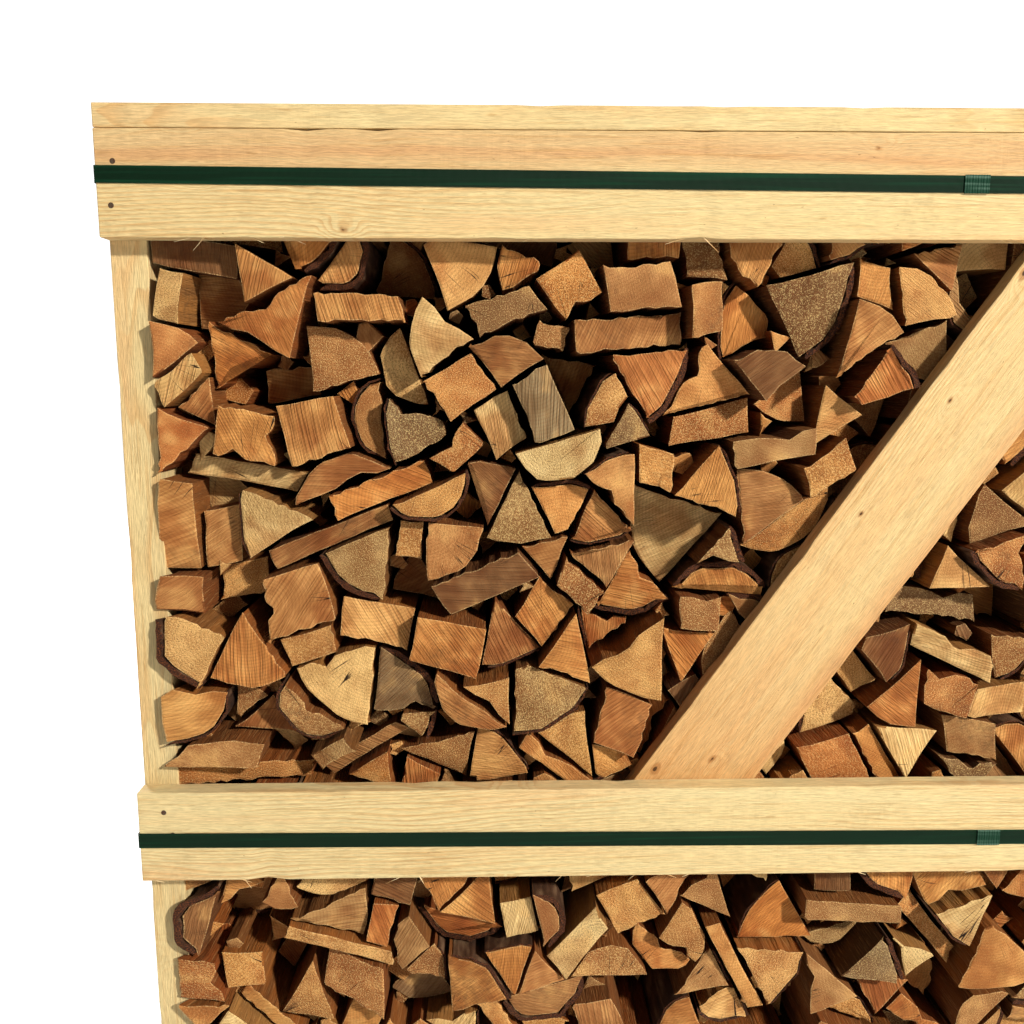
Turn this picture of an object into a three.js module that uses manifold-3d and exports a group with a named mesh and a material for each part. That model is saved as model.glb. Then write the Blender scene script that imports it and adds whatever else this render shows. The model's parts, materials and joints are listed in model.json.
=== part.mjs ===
// A sawn pine crate on a three-bearer pallet base, filled with split firewood and held by two
// plastic straps. Millimetres, +Z up, origin on the ground under the middle of the crate.
// -Y is the front, where the ends of the logs show between the rails.

import * as THREE from 'three';
import { mergeVertices } from 'three/addons/utils/BufferGeometryUtils.js';
import Module from 'manifold-3d';

// ---- Driving dimensions ----------------------------------------------------------------------

const WIDTH = 1120;              // over the ends of the front rails
const DEPTH = 1120;              // from the front rails' face to the back rails' face
const FIT = 0.3;                 // gap left between pieces that touch

const BOARD_THICKNESS = 22;
const BOARD_WIDTH = 100;
const POST_WIDTH = 36;           // along X
const POST_DEPTH = 60;           // along Y
const SLAT_THICKNESS = 14;       // upright slats behind the side rails, flush with the posts inside

const BEARER_WIDTH = 80;
const BEARER_HEIGHT = 90;
const DECK_BOARDS = 7;

const RAIL_PITCH = 659;          // from one front rail to the next
const RAIL_LEVELS = ['bottom', 'middle', 'top'];

const BRACE_WIDTH = 108;
const BRACE_LEAN = 34.9;         // degrees from upright
const BRACE_FOOT_X = 30;         // middle of the brace where it meets the middle rail's top edge
const BRACE_END_COVER = 94;      // how far its lower end reaches down behind the middle rail

const ROW_LENGTH = 344;          // one row of logs, from the front tips to the back tips
const ROW_STANDS_OUT = 14;       // the tips of an outer row stand this far in front of the posts
const STACK_HEIGHT = 1378;
const LOG_CLEARANCE = 1;         // round the rails and the brace

const STRAP_WIDTH = 16;
const STRAP_THICKNESS = 0.9;
const STRAP_BEND = 0.6;            // inner radius where a strap turns a corner of the crate
const STRAP_DROP = 5.5 / 800;    // both straps run down slightly towards the right
const STRAP_JOINT_LENGTH = 24;

// ---- Places that follow from them --------------------------------------------------------------

const DECK_TOP = BEARER_HEIGHT + BOARD_THICKNESS;
const TOP_RAIL_FLOOR = BEARER_HEIGHT + 2 * RAIL_PITCH;
const FRAME_TOP = TOP_RAIL_FLOOR + BOARD_WIDTH;
const HEIGHT = FRAME_TOP + BOARD_THICKNESS;
const MIDDLE_RAIL_TOP = BEARER_HEIGHT + RAIL_PITCH + BOARD_WIDTH;
const FRONT = -DEPTH / 2;
const POST_FRONT = FRONT + BOARD_THICKNESS + FIT;
const POST_BACK = POST_FRONT + POST_DEPTH;
const SIDE_WALL = WIDTH / 2 - BOARD_THICKNESS - SLAT_THICKNESS - FIT;   // inner face of the slats
const ROW_FRONT = POST_FRONT - ROW_STANDS_OUT;
const ROW_JOINT_Y = (ROW_LENGTH / 2 - ROW_FRONT - ROW_LENGTH) / 2;   // middle of the gap between rows
const CORNER_SLAT_Y = -POST_BACK - FIT - BOARD_WIDTH / 2;

// ---- Finishes ----------------------------------------------------------------------------------

const finish = (color, roughness) => new THREE.MeshStandardMaterial({ color, roughness, metalness: 0 });
const PINE = 0xe9cd93;
const DECK_PINE = 0xcfae78;
const FIREWOOD = 0xb07d48;
const STRAP_GREEN = 0x0f3a26;

const crate = new THREE.Group();

// ---- Shapes ------------------------------------------------------------------------------------

/** Adds a rectangular piece that fills the space between two corners. */
function addBlock(name, low, high, color = PINE, roughness = 0.75) {
  const size = high.map((value, axis) => value - low[axis]);
  const block = new THREE.Mesh(new THREE.BoxGeometry(...size), finish(color, roughness));
  block.name = name;
  block.position.set(...high.map((value, axis) => (value + low[axis]) / 2));
  crate.add(block);
  return block;
}

/** Extrudes an outline drawn in X and Z from one Y to another. */
function extrudeUpright(outline, fromY, toY) {
  const shape = new THREE.Shape(outline.map(([x, z]) => new THREE.Vector2(x, z)));
  const geometry = new THREE.ExtrudeGeometry(shape, { depth: toY - fromY, bevelEnabled: false });
  return geometry.rotateX(Math.PI / 2).translate(0, toY, 0);
}

/** The brace's outline, trimmed upright where it meets the right-hand post. */
function braceOutline(grow = 0) {
  const slope = Math.tan(THREE.MathUtils.degToRad(BRACE_LEAN));
  const halfAcross = (BRACE_WIDTH / 2 + grow) / Math.cos(THREE.MathUtils.degToRad(BRACE_LEAN));
  const foot = MIDDLE_RAIL_TOP - BRACE_END_COVER - grow;
  const head = FRAME_TOP - FIT + grow;
  const trim = WIDTH / 2 - POST_WIDTH - FIT + grow;
  const middle = (z) => BRACE_FOOT_X + (z - MIDDLE_RAIL_TOP) * slope;
  return [
    [middle(foot) - halfAcross, foot],
    [middle(foot) + halfAcross, foot],
    [trim, MIDDLE_RAIL_TOP + (trim - halfAcross - BRACE_FOOT_X) / slope],
    [trim, head],
    [middle(head) - halfAcross, head],
  ];
}

// ---- Pallet base -------------------------------------------------------------------------------

function addBase() {
  const outer = (WIDTH - BEARER_WIDTH) / 2;
  [['left', -outer], ['middle', 0], ['right', outer]].forEach(([side, x]) => {
    addBlock(
      `bearer_${side}`,
      [x - BEARER_WIDTH / 2, FRONT, 0],
      [x + BEARER_WIDTH / 2, -FRONT, BEARER_HEIGHT - FIT],
      DECK_PINE,
    );
  });
  const pitch = (-2 * POST_FRONT - BOARD_WIDTH) / (DECK_BOARDS - 1);
  for (let i = 0; i < DECK_BOARDS; i += 1) {
    const y = POST_FRONT + i * pitch;
    addBlock(
      `deck_board_${i + 1}`,
      [-WIDTH / 2, y, BEARER_HEIGHT],
      [WIDTH / 2, y + BOARD_WIDTH, DECK_TOP],
      DECK_PINE,
    );
  }
}

// ---- Posts, slats and rails --------------------------------------------------------------------

/** A range of X or Y, mirrored to the given side and put in rising order. */
const mirrored = (sign, near, far) => [sign * near, sign * far].sort((a, b) => a - b);

function addPostsAndSlats() {
  const slats = [-CORNER_SLAT_Y, -ROW_JOINT_Y, ROW_JOINT_Y, CORNER_SLAT_Y];
  [['left', -1], ['right', 1]].forEach(([side, sx]) => {
    [['front', -1], ['back', 1]].forEach(([end, sy]) => {
      const x = mirrored(sx, WIDTH / 2, WIDTH / 2 - POST_WIDTH);
      const y = mirrored(-sy, POST_FRONT, POST_BACK);
      addBlock(`post_${end}_${side}`, [x[0], y[0], DECK_TOP + FIT], [x[1], y[1], FRAME_TOP - FIT]);
    });
    const x = mirrored(sx, SIDE_WALL, SIDE_WALL + SLAT_THICKNESS);
    slats.forEach((y, i) => {
      addBlock(
        `slat_${side}_${i + 1}`,
        [x[0], y - BOARD_WIDTH / 2, DECK_TOP + FIT],
        [x[1], y + BOARD_WIDTH / 2, FRAME_TOP - FIT],
      );
    });
  });
}

function addRails() {
  RAIL_LEVELS.forEach((level, i) => {
    const z = BEARER_HEIGHT + i * RAIL_PITCH + FIT;
    const topZ = z + BOARD_WIDTH - 2 * FIT;
    const front = FRONT + BOARD_THICKNESS;
    addBlock(`rail_front_${level}`, [-WIDTH / 2, FRONT, z], [WIDTH / 2, front, topZ]);
    addBlock(`rail_back_${level}`, [-WIDTH / 2, -front, z], [WIDTH / 2, -FRONT, topZ]);

    // The bottom side rails stand on the deck boards, which run through under them.
    const lift = i === 0 ? BOARD_THICKNESS : 0;
    const end = -POST_BACK - FIT;
    const outer = WIDTH / 2;
    const inner = WIDTH / 2 - BOARD_THICKNESS;
    addBlock(`rail_left_${level}`, [-outer, -end, z + lift], [-inner, end, topZ + lift]);
    addBlock(`rail_right_${level}`, [inner, -end, z + lift], [outer, end, topZ + lift]);
  });
}

function addTopBoards() {
  const places = [FRONT + BOARD_WIDTH / 2, -ROW_JOINT_Y, ROW_JOINT_Y, -FRONT - BOARD_WIDTH / 2];
  places.forEach((y, i) => {
    addBlock(
      `top_board_${i + 1}`,
      [-WIDTH / 2, y - BOARD_WIDTH / 2, FRAME_TOP],
      [WIDTH / 2, y + BOARD_WIDTH / 2, HEIGHT],
    );
  });
}

/** One brace at the front, and the same brace turned half round at the back. */
function addBraces() {
  const geometry = extrudeUpright(braceOutline(), POST_FRONT, POST_FRONT + BOARD_THICKNESS);
  [['front', 0], ['back', Math.PI]].forEach(([end, turn]) => {
    const brace = new THREE.Mesh(geometry.clone(), finish(PINE, 0.75));
    brace.name = `brace_${end}`;
    brace.rotation.z = turn;
    crate.add(brace);
  });
}

// ---- Straps ------------------------------------------------------------------------------------

/** A rectangle with round corners, about the origin. */
function roundedRectangle(target, halfX, halfY, radius) {
  target.moveTo(halfX, -halfY + radius);
  target.lineTo(halfX, halfY - radius);
  target.absarc(halfX - radius, halfY - radius, radius, 0, Math.PI / 2);
  target.absarc(-halfX + radius, halfY - radius, radius, Math.PI / 2, Math.PI);
  target.absarc(-halfX + radius, -halfY + radius, radius, Math.PI, 1.5 * Math.PI);
  target.absarc(halfX - radius, -halfY + radius, radius, 1.5 * Math.PI, 2 * Math.PI);
  return target;
}

/** A strap round all four sides, with the thicker piece where its two ends are welded together. */
function addStrap(level, z, jointX) {
  const inner = FIT;
  const outer = FIT + STRAP_THICKNESS;
  const bend = STRAP_BEND;
  const loop = roundedRectangle(
    new THREE.Shape(), WIDTH / 2 + outer, DEPTH / 2 + outer, bend + STRAP_THICKNESS,
  );
  loop.holes.push(roundedRectangle(new THREE.Path(), WIDTH / 2 + inner, DEPTH / 2 + inner, bend));
  const geometry = new THREE.ExtrudeGeometry(loop, {
    depth: STRAP_WIDTH, bevelEnabled: false, curveSegments: 3,
  });
  geometry.translate(0, 0, -STRAP_WIDTH / 2);

  const strap = new THREE.Mesh(geometry, finish(STRAP_GREEN, 0.35));
  strap.name = `strap_${level}`;
  const joint = new THREE.Mesh(
    new THREE.BoxGeometry(STRAP_JOINT_LENGTH, STRAP_THICKNESS, STRAP_WIDTH + 1),
    finish(STRAP_GREEN, 0.45),
  );
  joint.name = `strap_joint_${level}`;
  joint.position.set(jointX, FRONT - outer - FIT - STRAP_THICKNESS / 2, 0);

  const tilted = new THREE.Group();
  tilted.position.z = z;
  tilted.rotation.y = Math.atan(STRAP_DROP);
  tilted.add(strap, joint);
  crate.add(tilted);
}

// ---- Firewood ----------------------------------------------------------------------------------

/** A closed three.js shape as a solid that can be joined and cut. */
function toSolid(wasm, geometry) {
  const bare = geometry.clone();
  bare.deleteAttribute('normal');
  bare.deleteAttribute('uv');
  const merged = mergeVertices(bare, 1e-4);
  return new wasm.Manifold(new wasm.Mesh({
    numProp: 3,
    vertProperties: new Float32Array(merged.attributes.position.array),
    triVerts: new Uint32Array(merged.index.array),
  }));
}

function fromSolid(solid) {
  const mesh = solid.getMesh();
  const geometry = new THREE.BufferGeometry();
  geometry.setAttribute('position', new THREE.BufferAttribute(mesh.vertProperties, 3));
  geometry.setIndex(new THREE.BufferAttribute(mesh.triVerts, 1));
  return geometry;
}

/** A rectangular solid between two corners. */
function solidBlock(wasm, low, high) {
  const size = high.map((value, axis) => value - low[axis]);
  const middle = high.map((value, axis) => (value + low[axis]) / 2);
  return toSolid(wasm, new THREE.BoxGeometry(...size).translate(...middle));
}

/** The outer row of logs: its tips stand out between the rails and stop short of the brace. */
function outerRow(wasm) {
  let row = solidBlock(
    wasm,
    [-SIDE_WALL + FIT, ROW_FRONT, DECK_TOP + FIT],
    [SIDE_WALL - FIT, ROW_FRONT + ROW_LENGTH, DECK_TOP + STACK_HEIGHT],
  );
  RAIL_LEVELS.forEach((level, i) => {
    const z = BEARER_HEIGHT + i * RAIL_PITCH;
    const rail = solidBlock(
      wasm,
      [-WIDTH, FRONT, z - LOG_CLEARANCE],
      [WIDTH, FRONT + BOARD_THICKNESS + LOG_CLEARANCE, z + BOARD_WIDTH + LOG_CLEARANCE],
    );
    row = row.subtract(rail);
  });
  const aboveTopRail = solidBlock(
    wasm, [-WIDTH, FRONT, TOP_RAIL_FLOOR], [WIDTH, FRONT + BOARD_THICKNESS + LOG_CLEARANCE, HEIGHT],
  );
  const behindBrace = POST_FRONT + BOARD_THICKNESS + LOG_CLEARANCE;
  const brace = toSolid(wasm, extrudeUpright(braceOutline(LOG_CLEARANCE), FRONT, behindBrace));
  return fromSolid(row.subtract(aboveTopRail).subtract(brace));
}

function addFirewood(wasm) {
  const geometry = outerRow(wasm);
  [['front', 0], ['back', Math.PI]].forEach(([end, turn]) => {
    const row = new THREE.Mesh(geometry.clone(), finish(FIREWOOD, 0.9));
    row.name = `firewood_row_${end}`;
    row.rotation.z = turn;
    crate.add(row);
  });
  addBlock(
    'firewood_row_middle',
    [-SIDE_WALL + FIT, -ROW_LENGTH / 2, DECK_TOP + FIT],
    [SIDE_WALL - FIT, ROW_LENGTH / 2, DECK_TOP + STACK_HEIGHT],
    FIREWOOD,
    0.9,
  );
}

// ---- The whole crate ---------------------------------------------------------------------------

const wasm = await Module();
wasm.setup();

addBase();
addPostsAndSlats();
addRails();
addTopBoards();
addBraces();
addFirewood(wasm);
addStrap('middle', MIDDLE_RAIL_TOP - 57, 342);
addStrap('top', HEIGHT - 68, 277);

export default crate;
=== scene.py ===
"""A pine crate of split firewood: rough-sawn boards, three rows of logs, straps and nails."""

import json
import logging
import math
from dataclasses import dataclass, field
from enum import Enum

import bmesh
import bpy
import numpy as np
from mathutils import Matrix, Vector, noise


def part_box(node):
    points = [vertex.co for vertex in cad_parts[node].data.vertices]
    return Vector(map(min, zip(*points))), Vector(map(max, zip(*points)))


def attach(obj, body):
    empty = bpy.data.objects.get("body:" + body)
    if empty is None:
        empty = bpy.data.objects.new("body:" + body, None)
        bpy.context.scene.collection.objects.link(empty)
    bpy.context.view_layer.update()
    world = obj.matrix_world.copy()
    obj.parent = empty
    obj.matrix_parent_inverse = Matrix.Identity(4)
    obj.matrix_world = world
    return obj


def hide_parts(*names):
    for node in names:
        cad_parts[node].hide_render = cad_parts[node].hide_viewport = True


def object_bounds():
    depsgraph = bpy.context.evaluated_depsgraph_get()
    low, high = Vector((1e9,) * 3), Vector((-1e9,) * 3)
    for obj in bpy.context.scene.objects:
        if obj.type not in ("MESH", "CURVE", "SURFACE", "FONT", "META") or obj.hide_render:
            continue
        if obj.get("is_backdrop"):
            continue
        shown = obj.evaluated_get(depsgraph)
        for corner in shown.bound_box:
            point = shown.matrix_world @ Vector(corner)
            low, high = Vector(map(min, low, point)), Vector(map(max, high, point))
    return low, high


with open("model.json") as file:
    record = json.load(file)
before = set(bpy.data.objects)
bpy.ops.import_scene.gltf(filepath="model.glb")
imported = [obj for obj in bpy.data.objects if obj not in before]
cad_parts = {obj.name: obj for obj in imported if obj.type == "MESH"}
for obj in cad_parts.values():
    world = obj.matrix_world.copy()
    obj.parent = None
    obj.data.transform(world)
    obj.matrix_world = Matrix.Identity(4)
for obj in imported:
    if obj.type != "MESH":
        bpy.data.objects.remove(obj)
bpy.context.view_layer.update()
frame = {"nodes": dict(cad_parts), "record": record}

log = logging.getLogger("crate")
MM = 0.001
BEHIND = 2 * MM          # what the logs keep clear of the rails and the brace
FAR_OFF = 9.0            # further than anything on the crate


def linear(hex_colour: str) -> tuple[float, float, float, float]:
    """Turns a colour such as f4d693 into the linear RGBA that shaders use.

    Args:
        hex_colour: Six hexadecimal digits, red, green and blue.

    Returns:
        Linear red, green, blue and an alpha of 1.
    """
    parts = [int(hex_colour[i:i + 2], 16) / 255 for i in (0, 2, 4)]
    values = [c / 12.92 if c <= 0.04045 else ((c + 0.055) / 1.055) ** 2.4 for c in parts]
    return (*values, 1.0)


# ---- Node recipes ------------------------------------------------------------------------------


class Recipe:
    """Adds nodes to one tree and wires them, so that a finish reads from top to bottom."""

    def __init__(self, tree: bpy.types.NodeTree) -> None:
        """Keeps the tree that the nodes go into."""
        self.tree = tree

    def add(self, kind: str, **settings: object) -> bpy.types.Node:
        """Adds a node.

        Args:
            kind: The node's type, without the word ShaderNode.
            settings: Properties to set on it.

        Returns:
            The new node.
        """
        node = self.tree.nodes.new(f"ShaderNode{kind}")
        for name, value in settings.items():
            setattr(node, name, value)
        return node

    def feed(self, socket: bpy.types.NodeSocket, value: object) -> None:
        """Links a socket to an output, or sets its plain value."""
        if isinstance(value, bpy.types.NodeSocket):
            self.tree.links.new(value, socket)
        elif value is not None:
            socket.default_value = value

    def calc(self, operation: str, *values: object) -> bpy.types.NodeSocket:
        """A Math node on one to three values, in socket order."""
        node = self.add("Math", operation=operation)
        for socket, value in zip(node.inputs, values):
            self.feed(socket, value)
        return node.outputs[0]

    def times(self, *values: object) -> bpy.types.NodeSocket:
        """The product of two values."""
        return self.calc("MULTIPLY", *values)

    def plus(self, *values: object) -> bpy.types.NodeSocket:
        """The sum of two values."""
        return self.calc("ADD", *values)

    def less(self, *values: object) -> bpy.types.NodeSocket:
        """The first value less the second."""
        return self.calc("SUBTRACT", *values)

    def parts(self, vector: bpy.types.NodeSocket) -> list[bpy.types.NodeSocket]:
        """The X, Y and Z of a vector."""
        node = self.add("SeparateXYZ")
        self.feed(node.inputs[0], vector)
        return list(node.outputs)

    def joined(self, *values: object, kind: str = "CombineXYZ") -> bpy.types.NodeSocket:
        """A vector, or a colour, made of single values."""
        node = self.add(kind)
        for socket, value in zip(node.inputs, values):
            self.feed(socket, value)
        return node.outputs[0]

    def vector(self, operation: str, *values: object) -> bpy.types.NodeSocket:
        """A Vector Math node; LENGTH and the like give their value, the rest a vector."""
        node = self.add("VectorMath", operation=operation)
        slots = [node.inputs["Scale"] if operation == "SCALE" and i == 1 else node.inputs[i]
                 for i in range(len(values))]
        for socket, value in zip(slots, values):
            self.feed(socket, value)
        single = operation in ("LENGTH", "DISTANCE", "DOT_PRODUCT")
        return node.outputs["Value" if single else "Vector"]

    def stretch(self, place: bpy.types.NodeSocket, *scale: float) -> bpy.types.NodeSocket:
        """Multiplies a place by a scale along each axis."""
        return self.vector("MULTIPLY", place, scale)

    def grain(self, place: bpy.types.NodeSocket, scale: float, detail: float = 2.0,
              roughness: float = 0.5) -> bpy.types.NodeSocket:
        """A Noise texture's value.

        Args:
            place: Where the pattern is read.
            scale: Features per unit of place.
            detail: Octaves.
            roughness: How strong the finer octaves are.

        Returns:
            The noise value's socket, about 0 to 1.
        """
        node = self.add("TexNoise")
        self.feed(node.inputs["Vector"], place)
        for name, value in (("Scale", scale), ("Detail", detail), ("Roughness", roughness)):
            self.feed(node.inputs[name], value)
        return node.outputs[0]

    def between(self, value: object, low: float, high: float, to_low: float = 0.0,
                to_high: float = 1.0) -> bpy.types.NodeSocket:
        """Maps a value from one range to another, smoothly and within limits."""
        node = self.add("MapRange", interpolation_type="SMOOTHSTEP")
        for socket, number in zip(node.inputs, (value, low, high, to_low, to_high)):
            self.feed(socket, number)
        return node.outputs[0]

    def ramp(self, value: object, stops: list[tuple[float, str]]) -> bpy.types.NodeSocket:
        """A colour ramp through the given stops of position and colour."""
        node = self.add("ValToRGB")
        while len(node.color_ramp.elements) < len(stops):
            node.color_ramp.elements.new(0.5)
        for element, (position, colour) in zip(node.color_ramp.elements, stops):
            element.position = position
            element.color = linear(colour)
        self.feed(node.inputs[0], value)
        return node.outputs[0]

    def mix(self, factor: object, under: object, over: object,
            mode: str = "MIX") -> bpy.types.NodeSocket:
        """Mixes two colours.

        Args:
            factor: How much of the second colour shows.
            under: The first colour, an output or a hex string.
            over: The second colour, an output or a hex string.
            mode: The blend mode.

        Returns:
            The mixed colour's socket.
        """
        node = self.add("Mix", data_type="RGBA", blend_type=mode)
        colours = [linear(c) if isinstance(c, str) else c for c in (under, over)]
        self.feed(node.inputs[0], factor)
        self.feed(node.inputs[6], colours[0])
        self.feed(node.inputs[7], colours[1])
        return node.outputs[2]

    def layered(self, colour: object, *layers: tuple) -> bpy.types.NodeSocket:
        """Lays colours over one another.

        Args:
            colour: The lowest colour, an output or a hex string.
            layers: Masks and colours in turn, from the bottom up.

        Returns:
            The finished colour's socket.
        """
        for mask, over in layers:
            colour = self.mix(mask, colour, over)
        return colour

    def attribute(self, name: str) -> bpy.types.Node:
        """Reads a named attribute of the mesh."""
        return self.add("Attribute", attribute_name=name)

    def use(self, group: bpy.types.NodeTree, **inputs: object) -> bpy.types.Node:
        """Places a node group and feeds its inputs, with underscores for spaces."""
        node = self.add("Group", node_tree=group)
        for name, value in inputs.items():
            self.feed(node.inputs[name.replace("_", " ")], value)
        return node


def shared_effect(name: str, inputs: dict[str, float | None],
                  outputs: list[str]) -> tuple[bpy.types.NodeTree, Recipe, dict]:
    """Starts a shader node group with named sockets.

    Args:
        name: The group's name.
        inputs: Input names, with a default number, or None for a vector.
        outputs: Output names, all plain values.

    Returns:
        The group, a recipe to fill it, and its sockets inside by name.
    """
    group = bpy.data.node_groups.new(name, "ShaderNodeTree")
    for title, default in inputs.items():
        kind = "NodeSocketVector" if default is None else "NodeSocketFloat"
        socket = group.interface.new_socket(title, in_out="INPUT", socket_type=kind)
        if default is not None:
            socket.default_value = default
    for title in outputs:
        group.interface.new_socket(title, in_out="OUTPUT", socket_type="NodeSocketFloat")
    inside = group.nodes.new("NodeGroupInput")
    outside = group.nodes.new("NodeGroupOutput")
    sockets = {s.name: s for s in inside.outputs if s.name}
    sockets.update({f"to {s.name}": s for s in outside.inputs if s.name})
    return group, Recipe(group), sockets


class Effects:
    """The effects that more than one wooden finish uses, each built once."""

    def __init__(self) -> None:
        """Builds the groups."""
        self.fibres = self._fibres()
        self.rings = self._rings()
        self.saw = self._saw()
        self.grime = self._grime()

    def _fibres(self) -> bpy.types.NodeTree:
        """Long fibres along the first axis: broad streaks and fine torn fuzz."""
        group, r, s = shared_effect("wood_fibres", {"Place": None, "Reach": 1.0},
                                    ["Streak", "Fuzz"])
        broad = r.grain(r.stretch(s["Place"], 3, 70, 70), 1.0, 2, 0.6)
        fine = r.grain(r.stretch(s["Place"], 60, 900, 900), s["Reach"], 2, 0.7)
        r.feed(s["to Streak"], r.between(broad, 0.3, 0.7))
        r.feed(s["to Fuzz"], fine)
        return group

    def _rings(self) -> bpy.types.NodeTree:
        """Annual rings: dark late wood that fades into the next year's pale wood."""
        group, r, s = shared_effect(
            "annual_rings", {"Place": None, "Radius": 0.0, "Spacing": 0.0035, "Waver": 0.002},
            ["Late wood"])
        drift = r.times(r.less(r.grain(s["Place"], 9.0, 2), 0.5), s["Waver"])
        year = r.calc("FRACT", r.calc("DIVIDE", r.plus(s["Radius"], drift), s["Spacing"]))
        rise = r.between(year, 0.35, 0.9)
        fall = r.between(year, 0.93, 1.0, 1.0, 0.0)
        r.feed(s["to Late wood"], r.times(rise, fall))
        return group

    def _saw(self) -> bpy.types.NodeTree:
        """Marks of a saw, as parallel scratches across the place's second axis."""
        group, r, s = shared_effect("saw_marks", {"Place": None, "Pitch": 330.0}, ["Mark"])
        scratch = r.grain(r.vector("SCALE", r.stretch(s["Place"], 0.04, 1, 0), s["Pitch"]),
                          1.0, 2, 0.55)
        r.feed(s["to Mark"], r.between(scratch, 0.36, 0.66))
        return group

    def _grime(self) -> bpy.types.NodeTree:
        """Soft blotches of damp and handling, with finer spots in them."""
        group, r, s = shared_effect("yard_grime", {"Place": None, "Amount": 0.5}, ["Mask"])
        blotch = r.between(r.grain(s["Place"], 14.0, 3, 0.6), 0.5, 0.72)
        spots = r.between(r.grain(s["Place"], 160.0, 2), 0.35, 0.75)
        r.feed(s["to Mask"], r.times(r.times(blotch, spots), s["Amount"]))
        return group


# ---- Finishes ----------------------------------------------------------------------------------


def new_material(name: str) -> tuple[bpy.types.Material, Recipe, bpy.types.Node]:
    """Makes an empty material.

    Args:
        name: The material's name.

    Returns:
        The material, a recipe for its tree, and its Principled BSDF.
    """
    material = bpy.data.materials.new(name)
    material.use_nodes = True
    return material, Recipe(material.node_tree), material.node_tree.nodes["Principled BSDF"]


def roughen(recipe: Recipe, shader: bpy.types.Node, height: object, depth: float) -> None:
    """Feeds a height through a Bump node into the shader's normal.

    Args:
        recipe: The material's recipe.
        shader: The Principled BSDF.
        height: The height's socket.
        depth: How deep a height of 1 is, in metres.
    """
    bump = recipe.add("Bump")
    bump.inputs["Distance"].default_value = depth
    recipe.feed(bump.inputs["Height"], height)
    recipe.feed(shader.inputs["Normal"], bump.outputs[0])


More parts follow.
